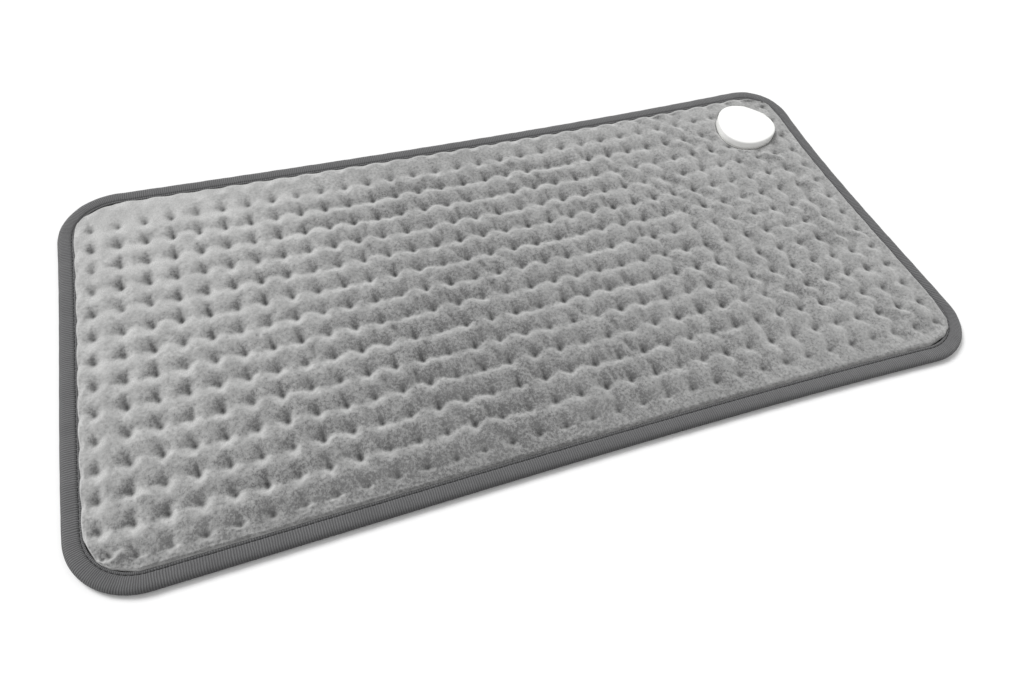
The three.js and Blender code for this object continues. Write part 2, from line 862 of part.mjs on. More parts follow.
// Base: floor, upstand, throat through the pad, screw bosses, board pegs and the cord socket.
function controllerBase() {
  const floor = podPrism(0, baseBottom, baseFloorTop);
  const upstand = podPrism(upstandOffset, baseFloorTop - joinDepth, upstandTop);
  const hollow = podPrism(upstandOffset - upstandWall, baseFloorTop, podTop);
  const nose = loftBody([
    noseLoop(0, baseBottom),
    noseLoop(0, noseTop - noseEdge),
    noseLoop(noseEdge, noseTop),
  ]);
  const throat = post(throatRadius, throatBottom, baseBottom + floorWall / 2, 0, 0, podSides);
  const bore = post(throatRadius - throatWall, -overrun, baseBottom);
  const wireHole = post(wireHoleRadius, -overrun, podTop);
  const bosses = [];
  const bores = [];
  bossAngles.forEach((angle) => {
    const x = bossCircle * Math.cos(angle);
    const y = bossCircle * Math.sin(angle);
    bosses.push(post(bossRadius, throatBottom, boardBottom, x, y));
    bosses.push(post(pegRadius, boardBottom - joinDepth, boardBottom + pegHeight, x, y));
    bores.push(post(screwRadius + fitGap, -overrun, baseFloorTop - screwTipCover + fitGap, x, y));
  });
  const slot = block(
    slotDepth + overrun,
    slotWidth,
    baseFloorTop,
    slotTop,
    socketBack + (slotDepth + overrun) / 2,
  );
  const insertRoom = block(
    insertDepth + fitGap * 2,
    slotWidth + insertMargin * 2 + fitGap * 2,
    baseFloorTop,
    podTop,
    socketBack - insertDepth / 2,
  );
  const pockets = hookAngles.map((angle) => {
    const wall = podWall(angle) + upstandOffset;
    const depth = hookReach - runningGap + fitGap;
    return radialBlock(
      wall - depth,
      wall + overrun,
      hookWidth + runningGap * 2,
      skirtBottom - stopGap,
      hookTop() + stopGap,
      angle,
    );
  });
  const westNotch = notchBlock(westEntry - podTurn, leadSpacing * 3);
  const southNotch = notchBlock(neutralEntry - podTurn, leadSpacing * 3 / 2);
  let solid = joined(toManifold(floor), [upstand, nose]);
  solid = cut(solid, [hollow]);
  solid = joined(solid, [nosePart(), throat]);
  solid = cut(solid, [bore, wireHole]);
  solid = joined(solid, bosses);
  return toGeometry(cut(solid, [...bores, slot, insertRoom, ...pockets, westNotch, southNotch]));
}

// The socket's housing inside the upstand, where the nose carries on inwards.
function nosePart() {
  const depth = noseReach - socketBack;
  return block(
    depth,
    slotWidth + (insertMargin + housingWall) * 2,
    baseBottom,
    noseTop,
    socketBack + depth / 2,
  );
}

function notchBlock(angle, width) {
  const half = leadDiameter / 2 + runningGap;
  return radialBlock(
    throatRadius - throatWall - bossRadius / 2,
    throatRadius + overrun,
    width,
    wireAxisHeight - half,
    wireAxisHeight + half,
    angle,
  );
}

function hookTop() {
  return skirtBottom + pressTravel + hookHeight;
}

// Press cap: a mushroom cap whose skirt slides over the upstand, held by three snap hooks.
function pressCap() {
  const fillet = Array.from({ length: edgeSteps + 1 }, (_, step) => {
    const angle = step / edgeSteps * Math.PI / 2;
    return podLoop(
      podEdgeRadius * (Math.cos(angle) - 1),
      podTop - podEdgeRadius * (1 - Math.sin(angle)),
    );
  });
  const body = loftBody([podLoop(0, skirtBottom), ...fillet]);
  const hollow = podPrism(-capSkirtWall, skirtBottom - overrun, capUnderside);
  const boss = post(plungerRadius + capBossWall, plungerTop + capBossGap, podTop - capTopWall / 2);
  const noseOpening = block(
    noseReach,
    noseWidth + noseSideGap * 2,
    skirtBottom - overrun,
    capUnderside,
    noseReach / 2 + socketBack,
  );
  const hooks = hookAngles.map((angle) => {
    const wall = podWall(angle) - capSkirtWall;
    return radialBlock(
      wall - hookReach,
      wall + joinDepth,
      hookWidth,
      hookTop() - hookHeight,
      hookTop(),
      angle,
    );
  });
  let solid = cut(toManifold(body), [hollow, noseOpening]);
  solid = joined(solid, [boss, ...hooks]);
  return toGeometry(solid);
}

function circuitBoard() {
  const board = podPrism(upstandOffset - upstandWall - boardMargin, boardBottom, boardTop);
  const edge = socketBack - insertDepth - fitGap * 2;
  const clip = block(podRadius, podRadius * 2 + overrun, 0, podTop, edge + podRadius / 2);
  const holes = bossAngles.map((angle) => post(
    pegRadius + fitGap,
    0,
    podTop,
    bossCircle * Math.cos(angle),
    bossCircle * Math.sin(angle),
  ));
  return toGeometry(cut(toManifold(board), [clip, ...holes]));
}

function switchBody() {
  const body = chamferedBlock(switchSide, switchSide, boardTop, switchTop, cutoutChamfer / 2);
  const bore = post(plungerRadius + fitGap, plungerBottom - pressTravel - fitGap / 2, podTop);
  return toGeometry(cut(toManifold(body), [bore]));
}

function socketInsert() {
  const body = block(
    insertDepth,
    slotWidth + insertMargin * 2,
    baseFloorTop,
    slotTop,
    socketBack - insertDepth / 2,
  );
  const bores = pinPlaces().map((y) => crossRod(
    pinDiameter / 2 + fitGap,
    socketBack - insertDepth - overrun,
    socketBack + overrun,
    y,
  ));
  return toGeometry(cut(toManifold(body), bores));
}

function pinPlaces() {
  return Array.from({ length: pinCount }, (_, index) => (
    (index - (pinCount - 1) / 2) * pinSpacing
  ));
}

// Rod along the pod's own X axis, at the socket's mid height.
function crossRod(radius, from, to, y) {
  const geometry = new THREE.CylinderGeometry(radius, radius, to - from, roundSides / 2);
  geometry.rotateZ(Math.PI / 2);
  geometry.translate((from + to) / 2, y, (baseFloorTop + slotTop) / 2);
  return geometry;
}

// Contact pin with a rounded tip, turned on a lathe and laid along the socket.
function contactPin(y) {
  const radius = pinDiameter / 2;
  const length = insertDepth + pinReach;
  const tip = Array.from({ length: edgeSteps + 1 }, (_, step) => {
    const angle = step / edgeSteps * Math.PI / 2;
    return new THREE.Vector2(
      radius * Math.cos(angle),
      length - radius + radius * Math.sin(angle),
    );
  });
  tip[tip.length - 1].x = 0;
  const profile = [new THREE.Vector2(0, 0), new THREE.Vector2(radius, 0), ...tip];
  const geometry = new THREE.LatheGeometry(profile, roundSides / 2);
  geometry.rotateZ(-Math.PI / 2);
  geometry.translate(socketBack - insertDepth, y, (baseFloorTop + slotTop) / 2);
  return geometry;
}

function screwProfile(grow, head, tip) {
  return [
    new THREE.Vector2(0, head),
    new THREE.Vector2(screwHeadRadius + grow, head),
    new THREE.Vector2(screwHeadRadius + grow, clampPlateBottom),
    new THREE.Vector2(screwRadius + grow, clampPlateTop - clampPlateThickness / 4),
    new THREE.Vector2(screwRadius + grow, tip - screwRadius / 2),
    new THREE.Vector2(grow > 0 ? screwRadius + grow : screwRadius / 2, tip),
    new THREE.Vector2(0, tip),
  ];
}

function clampPlate() {
  const plate = post(clampPlateRadius, clampPlateBottom, clampPlateTop, 0, 0, podSides);
  const sinks = bossAngles.map((angle) => {
    const profile = screwProfile(fitGap, clampPlateBottom - overrun, clampPlateTop + overrun);
    const geometry = new THREE.LatheGeometry(profile, roundSides);
    geometry.rotateX(Math.PI / 2);
    geometry.translate(bossCircle * Math.cos(angle), bossCircle * Math.sin(angle), 0);
    return geometry;
  });
  return toGeometry(cut(toManifold(plate), sinks));
}

function clampScrew(angle) {
  const tip = baseFloorTop - screwTipCover;
  const head = clampPlateBottom + layerGap / 4;
  const profile = screwProfile(0, head, tip);
  profile[2].y = head + layerGap / 4;
  const geometry = new THREE.LatheGeometry(profile, roundSides);
  geometry.rotateX(Math.PI / 2);
  const drive = [0, Math.PI / 2].map((turn) => {
    const length = screwHeadRadius * 2 - screwRadius;
    const slot = block(length, driveSlotWidth, -overrun, head + driveSlotDepth);
    slot.rotateZ(turn);
    return slot;
  });
  const solid = toGeometry(cut(toManifold(geometry), drive));
  solid.translate(bossCircle * Math.cos(angle), bossCircle * Math.sin(angle), 0);
  return solid;
}

function material(color, roughness, metalness = 0) {
  return new THREE.MeshStandardMaterial({ color, roughness, metalness });
}

function addPiece(group, name, geometry, finish) {
  const mesh = new THREE.Mesh(geometry, finish);
  mesh.name = name;
  group.add(mesh);
  return mesh;
}

function buildPad() {
  const pad = new THREE.Group();
  const cloth = (color) => material(color, clothRoughness);
  addPiece(pad, 'front_cover', frontCover(), cloth(toneCover));
  addPiece(
    pad,
    'front_wadding',
    innerLayer(frontWaddingBottom, waddingThickness, cutoutSpots),
    cloth(toneWadding),
  );
  addPiece(pad, 'heating_wire', heatingWire(), material(toneWire, plasticRoughness));
  addPiece(
    pad,
    'heater_sheet',
    innerLayer(heaterSheetBottom, heaterSheetThickness),
    cloth(toneSheet),
  );
  addPiece(
    pad,
    'back_wadding',
    innerLayer(backWaddingBottom, waddingThickness),
    cloth(toneWadding),
  );
  addPiece(pad, 'back_cover', backCover(), cloth(toneCover));
  addPiece(pad, 'binding_tape', bindingTape(), cloth(toneTape));
  cutoutSpots.forEach((spot, index) => {
    addPiece(
      pad,
      `thermal_cutout_${index + 1}`,
      thermalCutout(spot),
      material(toneMetal, metalRoughness, 1),
    );
  });
  addPiece(pad, 'temperature_sensor', temperatureSensor(), material(toneDark, plasticRoughness));
  addPiece(pad, 'lead_wire_live', liveLead(), material(toneRed, plasticRoughness));
  addPiece(pad, 'lead_wire_neutral', neutralLead(), material(toneBlue, plasticRoughness));
  addPiece(pad, 'sensor_wire', sensorLead(), material(toneShade, plasticRoughness));
  return pad;
}

function buildController() {
  const controller = new THREE.Group();
  controller.position.set(podX, podY, 0);
  controller.rotation.z = podTurn;
  const plastic = (color) => material(color, plasticRoughness);
  addPiece(controller, 'controller_base', controllerBase(), plastic(toneShade));
  addPiece(controller, 'press_cap', pressCap(), plastic(toneShell));
  addPiece(controller, 'circuit_board', circuitBoard(), plastic(toneBoard));
  addPiece(controller, 'switch_body', switchBody(), plastic(toneDark));
  addPiece(
    controller,
    'switch_plunger',
    post(plungerRadius, plungerBottom, plungerTop),
    plastic(toneRed),
  );
  addPiece(
    controller,
    'control_chip',
    chamferedBlock(
      chipLength,
      chipWidth,
      boardTop,
      boardTop + chipHeight,
      chipHeight / 4,
      -partSpread,
      partSpread / 2,
    ),
    plastic(toneDark),
  );
  addPiece(
    controller,
    'power_triac',
    chamferedBlock(
      triacWidth,
      triacLength,
      boardTop,
      boardTop + triacHeight,
      triacHeight / 4,
      0,
      -partSpread - triacLength / 4,
    ),
    plastic(toneDark),
  );
  addPiece(
    controller,
    'indicator_led',
    chamferedBlock(ledSide, ledSide, boardTop, boardTop + ledHeight, ledHeight / 4, 0, partSpread),
    plastic(toneLamp),
  );
  addPiece(controller, 'socket_insert', socketInsert(), plastic(toneDark));
  pinPlaces().forEach((y, index) => {
    addPiece(
      controller,
      `contact_pin_${index + 1}`,
      contactPin(y),
      material(toneBrass, metalRoughness, 1),
    );
  });
  addPiece(controller, 'clamp_plate', clampPlate(), plastic(toneShade));
  bossAngles.forEach((angle, index) => {
    addPiece(
      controller,
      `clamp_screw_${index + 1}`,
      clampScrew(angle),
      material(toneMetal, metalRoughness, 1),
    );
  });
  return controller;
}

// The origin is under the middle of the drawn-in outline, on the surface that the pad lies on.
const group = new THREE.Group();
const extent = new THREE.Box2().setFromPoints(padOutline(0));
const middle = extent.getCenter(new THREE.Vector2());
group.position.set(-middle.x, -middle.y, 0);
group.add(buildPad(), buildController());

export default group;
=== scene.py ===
"""Quilted heating pad with a press-cap controller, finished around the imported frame.

The pad lies flat on a pale floor. Its plush covers are tufted in a grid, its edge is bound with a
folded and stitched tape, and a white controller is clamped through one corner.
Sizes in the classes are millimetres and finished meshes are metres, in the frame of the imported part.
"""

import logging
import math
from dataclasses import dataclass, field
from enum import Enum
from typing import Any, Callable

import bmesh
import bpy
import numpy as np
from mathutils import Matrix, Vector


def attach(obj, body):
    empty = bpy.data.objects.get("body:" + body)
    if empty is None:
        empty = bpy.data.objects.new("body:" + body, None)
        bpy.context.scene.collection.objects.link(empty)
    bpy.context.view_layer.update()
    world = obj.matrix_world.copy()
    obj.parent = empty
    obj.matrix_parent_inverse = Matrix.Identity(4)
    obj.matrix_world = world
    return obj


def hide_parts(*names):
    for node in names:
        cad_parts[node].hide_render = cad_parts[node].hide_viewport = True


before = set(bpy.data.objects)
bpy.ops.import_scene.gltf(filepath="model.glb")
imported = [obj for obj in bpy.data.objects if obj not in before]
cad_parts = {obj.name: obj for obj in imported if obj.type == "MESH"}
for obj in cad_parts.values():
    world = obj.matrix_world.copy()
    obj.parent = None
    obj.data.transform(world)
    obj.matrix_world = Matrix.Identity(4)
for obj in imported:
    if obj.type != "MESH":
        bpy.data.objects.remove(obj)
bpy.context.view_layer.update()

log = logging.getLogger("heating_pad")

METRES = 0.001  # one millimetre, in metres
PAD_BODY = "pad"
BUTTON_BODY = "press_button"
NEAR = 1e-3  # share of a cell within which a corner counts as on a line of the quilting
TINY = 1e-6  # keeps rounding from dropping a place into the cell before its own
MIDDLING = (0.35, 0.65)  # most of a cloudy pattern's values lie between these

Socket = bpy.types.NodeSocket


def linear(colour: str) -> tuple[float, float, float, float]:
    """Turns an sRGB hex colour into linear light.

    Args:
        colour: Six hex digits, such as "a9a9a8".

    Returns:
        Red, green, blue and an alpha of one.
    """
    shares = [int(colour[start:start + 2], 16) / 255 for start in (0, 2, 4)]
    light = [s / 12.92 if s <= 0.04045 else ((s + 0.055) / 1.055) ** 2.4 for s in shares]
    return (light[0], light[1], light[2], 1.0)


def per_metre(size: float) -> float:
    """Gives a texture's scale for features of a real size in millimetres."""
    return 1 / (size * METRES)


def add_node(
    tree: bpy.types.NodeTree,
    kind: str,
    settings: dict[str | int, Any] | None = None,
    links: dict[str | int, Socket] | None = None,
) -> bpy.types.Node:
    """Adds one shader node.

    Args:
        tree: The material's or world's node tree.
        kind: The node's type name without its ShaderNode prefix.
        settings: Values by the name of a node property or by the name or number of an input.
        links: Output sockets by the name or number of the input that they feed.

    Returns:
        The new node.
    """
    node = tree.nodes.new(f"ShaderNode{kind}")
    for name, value in (settings or {}).items():
        if isinstance(name, str) and hasattr(node, name):
            setattr(node, name, value)
        else:
            node.inputs[name].default_value = value
    for name, source in (links or {}).items():
        tree.links.new(source, node.inputs[name])
    return node


class Painting:
    """A material while its nodes are added, with patterns that lie on the piece's own coordinates."""

    def __init__(self, name: str) -> None:
        """Starts the material.

        Args:
            name: The material's name.
        """
        self.material = bpy.data.materials.new(name)
        self.material.use_nodes = True
        self.tree = self.material.node_tree
        self.tree.nodes.clear()
        self.place = add_node(self.tree, "TexCoord").outputs["Object"]

    def cloudy(
        self,
        size: float,
        octaves: int,
        span: tuple[float, float] | None = None,
        place: Socket | None = None,
    ) -> Socket:
        """Adds an uneven pattern with features of a real size.

        Args:
            size: Size of its largest features in millimetres.
            octaves: How many times finer features are added.
            span: Values of the plain pattern that are stretched over zero to one.
            place: Coordinates to use in place of the piece's own.

        Returns:
            The pattern's socket.
        """
        settings = {"Scale": per_metre(size), "Detail": octaves, "Roughness": 0.55}
        links = {"Vector": self.place if place is None else place}
        plain = add_node(self.tree, "TexNoise", settings, links).outputs["Fac"]
        if span is None:
            return plain
        settings = {"From Min": span[0], "From Max": span[1]}
        return add_node(self.tree, "MapRange", settings, {"Value": plain}).outputs["Result"]

    def blend(self, share: Socket, first: Socket | str, second: Socket | str, most: float = 1.0) -> Socket:
        """Mixes two colours by a pattern.

        Args:
            share: Pattern from zero, all first, to one.
            first: A colour socket or an sRGB hex colour.
            second: A colour socket or an sRGB hex colour.
            most: How much of the second colour shows where the pattern is one.

        Returns:
            The mixed colour's socket.
        """
        held = add_node(self.tree, "MapRange", {"To Max": most}, {"Value": share}).outputs["Result"]
        mix = add_node(self.tree, "Mix", {"data_type": "RGBA"}, {0: held})
        for number, colour in ((6, first), (7, second)):
            if isinstance(colour, str):
                mix.inputs[number].default_value = linear(colour)
            else:
                self.tree.links.new(colour, mix.inputs[number])
        return mix.outputs[2]

    def close(
        self,
        shader: dict[str, float],
        colour: Socket,
        height: Socket | None = None,
        depth: float = 0.0,
    ) -> None:
        """Closes the material with a Principled shader.

        Args:
            shader: Settings of the shader's own sockets.
            colour: Base colour.
            height: Pattern that the surface's fine relief follows.
            depth: Depth of that relief in millimetres.
        """
        principled = add_node(self.tree, "BsdfPrincipled", shader, {"Base Color": colour})
        if height is not None:
            settings = {"Strength": 1.0, "Distance": depth * METRES}
            bump = add_node(self.tree, "Bump", settings, {"Height": height})
            self.tree.links.new(bump.outputs["Normal"], principled.inputs["Normal"])
        add_node(self.tree, "OutputMaterial", {}, {"Surface": principled.outputs["BSDF"]})


@dataclass(frozen=True)
class Finish:
    """What every finish has: a name, and its own way to paint a material."""

    name: str

    def build(self) -> bpy.types.Material:
        """Makes the material.

        Returns:
            The finished material.
        """
        painting = Painting(self.name)
        self.paint(painting)
        return painting.material

    def paint(self, on: Painting) -> None:
        """Adds the finish's patterns and its shader to a material."""
        raise NotImplementedError(self.name)


@dataclass(frozen=True)
class Plush(Finish):
    """Warp-knitted polyester plush with a short pile, raised by brushing.

    Its colour carries painted sheen and painted shade laid out from one fixed spot off the pad's
    near side: where the cloth faces that spot it is painted dark, and where it turns away it is
    painted pale. Towards the left-hand end it is painted paler still, as painted light. This painting
    is fixed to the cloth and stays the same in every view.
    """

    deep: str  # dark pile tone, and the painted shade where the cloth faces the spot
    edge: str  # pale pile tone, and the painted sheen where the cloth turns away from the spot
    closed: str  # painted shade where the cloth sinks into dips, valleys, streaks and wrinkles
    left_light: float  # painted light: how much paler the left-hand end is drawn
    sheen: float = 0.2
    nap_size: float = 60.0
    nap_share: float = 0.15
    patch_size: float = 11.0
    patch_span: tuple[float, float] = (0.3, 0.7)
    patch_share: float = 0.3
    clump_size: float = 2.0
    fibre_size: float = 0.75  # a real fibre is far finer, and is drawn as coarse as shows
    fibre_share: float = 0.28
    fibre_stretch: tuple[float, float, float] = (1.0, 0.6, 1.0)
    # share of the painted shade in dips, valleys, streaks and wrinkles that shows
    crease_shade_share: float = 0.95
    relief: float = 0.36
    speckle: float = 0.8
    palest_from: float = 0.66
    tone_power: float = 0.85
    # where the painted light on the left-hand end starts and is complete, in millimetres along the pad
    left_light_from: float = -60.0
    left_light_to: float = -230.0
    # spot that the painted sheen and shade are laid out from, in millimetres
    sheen_spot: tuple[float, float, float] = (-150.0, -320.0, 420.0)

    def turned_away(self, on: Painting) -> Socket:
        """Finds how far the cloth turns away from the spot that its painted sheen and shade are laid out
        from.

        Args:
            on: The material.

        Returns:
            A socket that is zero where the cloth faces the spot and one where it is edge on to it.
        """
        tree, spot = on.tree, tuple(size * METRES for size in self.sheen_spot)
        way = add_node(tree, "VectorMath", {"operation": "SUBTRACT", 0: spot}, {1: on.place}).outputs[0]
        way = add_node(tree, "VectorMath", {"operation": "NORMALIZE"}, {0: way}).outputs[0]
        upright = add_node(tree, "TexCoord").outputs["Normal"]
        facing = add_node(tree, "VectorMath", {"operation": "DOT_PRODUCT"}, {0: way, 1: upright})
        away = add_node(tree, "Math", {"operation": "SUBTRACT", 0: 1.0}, {1: facing.outputs["Value"]})
        return away.outputs[0]

    def painted_left_light(self, on: Painting) -> Socket:
        """Paints light on the pile, making it paler towards the left-hand end.

        Args:
            on: The material.

        Returns:
            What the pile's turning away is multiplied by, which is one at the right.
        """
        x = add_node(on.tree, "SeparateXYZ", {}, {"Vector": on.place}).outputs["X"]
        settings = {"From Min": self.left_light_from * METRES, "From Max": self.left_light_to * METRES}
        side = add_node(on.tree, "MapRange", settings, {"Value": x}).outputs["Result"]
        settings = {"operation": "MULTIPLY_ADD", 1: self.left_light, 2: 1.0}
        return add_node(on.tree, "Math", settings, {0: side}).outputs[0]

    def paint(self, on: Painting) -> None:
        """Draws the pile with its painted sheen and shade, and paints shade where the covers' attribute
        says the cloth sinks.

        Args:
            on: The material.
        """
        tree = on.tree
        settings = {"Scale": self.fibre_stretch}
        stretched = add_node(tree, "Mapping", settings, {"Vector": on.place}).outputs["Vector"]
        fibre = on.cloudy(self.fibre_size, 3, place=stretched)
        links = {0: on.cloudy(self.clump_size, 2), 1: fibre}
        height = add_node(tree, "Math", {"operation": "ADD"}, links).outputs[0]
        settings = {"operation": "MULTIPLY_ADD", 1: self.speckle, 2: -self.speckle}
        speckle = add_node(tree, "Math", settings, {0: height}).outputs[0]
        # Painted sheen and shade: pale where the cloth turns from the spot, dark where it faces it, with
        # the speckle added
        links = {0: self.turned_away(on), 1: self.painted_left_light(on), 2: speckle}
        painted_sheen_and_speckle = add_node(tree, "Math", {"operation": "MULTIPLY_ADD"}, links).outputs[0]
        pale = add_node(tree, "MapRange", {"From Max": self.palest_from}, {"Value": painted_sheen_and_speckle}).outputs[0]
        tone = add_node(tree, "Math", {"operation": "POWER", 1: self.tone_power}, {0: pale}).outputs[0]
        colour = on.blend(tone, self.deep, self.edge)
        colour = on.blend(on.cloudy(self.nap_size, 2, MIDDLING), colour, self.edge, self.nap_share)
        patch = on.cloudy(self.patch_size, 2, self.patch_span)
        colour = on.blend(patch, colour, self.deep, self.patch_share)
        settings = {"From Min": MIDDLING[0], "From Max": MIDDLING[1]}
        grain = add_node(tree, "MapRange", settings, {"Value": fibre}).outputs["Result"]
        colour = on.blend(grain, colour, self.deep, self.fibre_share)
        # Painted shade where the cloth sinks into dips, valleys, streaks and wrinkles
        crease_shade = add_node(tree, "Attribute", {"attribute_name": "crease_shade"}).outputs["Fac"]
        colour = on.blend(crease_shade, colour, self.closed, self.crease_shade_share)
        shader = {"Roughness": 0.95, "Specular IOR Level": 0.1, "Sheen Roughness": 0.4}
        on.close({**shader, "Sheen Weight": self.sheen}, colour, height, self.relief)


@dataclass(frozen=True)
class RibbedTape(Finish):
    """Woven polyester binding with fine ribs across it, so it is matt and catches light in lines.

    Its map counts metres along the tape, and a millimetre for each line of its section. Between
    two lines of the section, on its lower outer side, the colour darkens with painted shade.
    """

    thread: str
    shade: str
    # painted shade on the lower outer side
    outer_shade: str
    rib_pitch: float = 1.45
    unevenness: float = 1.1
    unevenness_size: float = 5.0
    relief: float = 0.3
    fibre_size: float = 0.5
    fibre_share: float = 0.5
    wear_size: float = 14.0
    wear_span: tuple[float, float] = (0.35, 0.7)
    wear_share: float = 0.25
    # lines of the section over which the painted shade on the outer side deepens, and its share
    outer_shade_from: float = 9.5
    outer_shade_to: float = 12.5
    outer_shade_share: float = 0.6

    def ribs(self, on: Painting, along: Socket) -> Socket:
        """Draws the ribs, a little unevenly spaced.

        Args:
            on: The material.
            along: Metres along the tape.

        Returns:
            A socket that is zero between two ribs and one on top of a rib.
        """
        settings = {"operation": "MULTIPLY_ADD", 1: self.unevenness * METRES}
        links = {0: on.cloudy(self.unevenness_size, 3), 2: along}
        along = add_node(on.tree, "Math", settings, links).outputs[0]
        turn = 2 * math.pi / (self.rib_pitch * METRES)
        phase = add_node(on.tree, "Math", {"operation": "MULTIPLY", 1: turn}, {0: along}).outputs[0]
        wave = add_node(on.tree, "Math", {"operation": "SINE"}, {0: phase}).outputs[0]
        return add_node(on.tree, "MapRange", {"From Min": -1.0}, {"Value": wave}).outputs["Result"]

    def paint(self, on: Painting) -> None:
        """Draws the ribs, the fibres, the wear and the painted shade on the lower outer side.

        Args:
            on: The material.
        """
        tree = on.tree
        mapped = add_node(tree, "UVMap", {"uv_map": "TapeMap"}).outputs["UV"]
        along, line = add_node(tree, "SeparateXYZ", {}, {"Vector": mapped}).outputs[:2]
        # Painted shade: the lower outer side of the tape darkens towards the floor
        settings = {"From Min": self.outer_shade_from * METRES, "From Max": self.outer_shade_to * METRES}
        outer = add_node(tree, "MapRange", settings, {"Value": line}).outputs["Result"]
        rib, fibre = self.ribs(on, along), on.cloudy(self.fibre_size, 2)
        wear = on.cloudy(self.wear_size, 3, self.wear_span)
        # Painted shade: darker between the ribs, with the thread's own colour on their tops
        colour = on.blend(rib, self.shade, self.thread)
        colour = on.blend(fibre, colour, self.shade, self.fibre_share)
        colour = on.blend(wear, colour, self.shade, self.wear_share)
        colour = on.blend(outer, colour, self.outer_shade, self.outer_shade_share)
        height = add_node(tree, "Math", {"operation": "ADD"}, {0: rib, 1: fibre}).outputs[0]
        shader = {"Roughness": 0.85, "Specular IOR Level": 0.25, "Sheen Weight": 0.25}
        on.close(shader, colour, height, self.relief)


@dataclass(frozen=True)
class Thread(Finish):
    """Spun polyester sewing thread, matt with a fine twist."""

    colour: str
    shade: str
    twist_size: float = 0.4
    relief: float = 0.08

    def paint(self, on: Painting) -> None:
        """Draws the twist.

        Args:
            on: The material.
        """
        twist = on.cloudy(self.twist_size, 2)
        colour = on.blend(twist, self.colour, self.shade)
        on.close({"Roughness": 0.7, "Specular IOR Level": 0.3}, colour, twist, self.relief)


@dataclass(frozen=True)
class Moulded(Finish):
    """Injection-moulded plastic or sleeving: a smooth skin with a fine grain from its tool."""

    colour: str
    shade: str
    roughness: float = 0.4
    grain_size: float = 0.8
    flow_size: float = 14.4
    flow_share: float = 0.5
    relief: float = 0.01
    coat: float = 0.0
    transmission: float = 0.0

    def paint(self, on: Painting) -> None:
        """Draws the grain and the faint clouds of the plastic's flow.

        Args:
            on: The material.
        """
        flow = on.cloudy(self.flow_size, 2, MIDDLING)
        colour = on.blend(flow, self.colour, self.shade, self.flow_share)
        shader = {"IOR": 1.53, "Roughness": self.roughness, "Coat Weight": self.coat}
        shader["Transmission Weight"] = self.transmission
        on.close(shader, colour, on.cloudy(self.grain_size, 3), self.relief)


@dataclass(frozen=True)
class Metal(Finish):
    """Plated or drawn metal with fine drawing marks, which blur what it reflects."""

    colour: str
    shade: str
    roughness: float = 0.3
    mark_size: float = 0.3
    mark_share: float = 0.6
    relief: float = 0.005

    def paint(self, on: Painting) -> None:
        """Draws the marks.

        Args:
            on: The material.
        """
        marks = on.cloudy(self.mark_size, 2)
        colour = on.blend(marks, self.colour, self.shade, self.mark_share)
        on.close({"Roughness": self.roughness, "Metallic": 1.0}, colour, marks, self.relief)


@dataclass(frozen=True)
class NonWoven(Finish):
    """Needled or bonded fibre sheet: pale, matt and cloudy with its fibres' thick and thin places."""

    colour: str
    shade: str
    cloud_size: float = 6.0
    cloud_share: float = 0.6
    fibre_size: float = 0.7
    fibre_share: float = 0.4
    relief: float = 0.15

    def paint(self, on: Painting) -> None:
        """Draws the clouds and the fibres.

        Args:
            on: The material.
        """
        fibre = on.cloudy(self.fibre_size, 3)
        cloud = on.cloudy(self.cloud_size, 3, MIDDLING)
        colour = on.blend(cloud, self.colour, self.shade, self.cloud_share)
        colour = on.blend(fibre, colour, self.shade, self.fibre_share)
        on.close({"Roughness": 0.95, "Sheen Weight": 0.2}, colour, fibre, self.relief)


@dataclass(frozen=True)
class Laminate(Finish):
    """Glass-fibre board under a green solder mask, with the faint weave of the glass below it."""

    colour: str
    shade: str
    weave_size: float = 0.6
    weave_share: float = 0.5
    relief: float = 0.01

    def paint(self, on: Painting) -> None:
        """Draws the weave.

        Args:
            on: The material.
        """
        settings = {"Scale": per_metre(self.weave_size), "Color1": (0, 0, 0, 1), "Color2": (1, 1, 1, 1)}
        weave = add_node(on.tree, "TexChecker", settings, {"Vector": on.place}).outputs["Fac"]
        colour = on.blend(weave, self.colour, self.shade, self.weave_share)
        on.close({"Roughness": 0.35, "Coat Weight": 0.3}, colour, weave, self.relief)


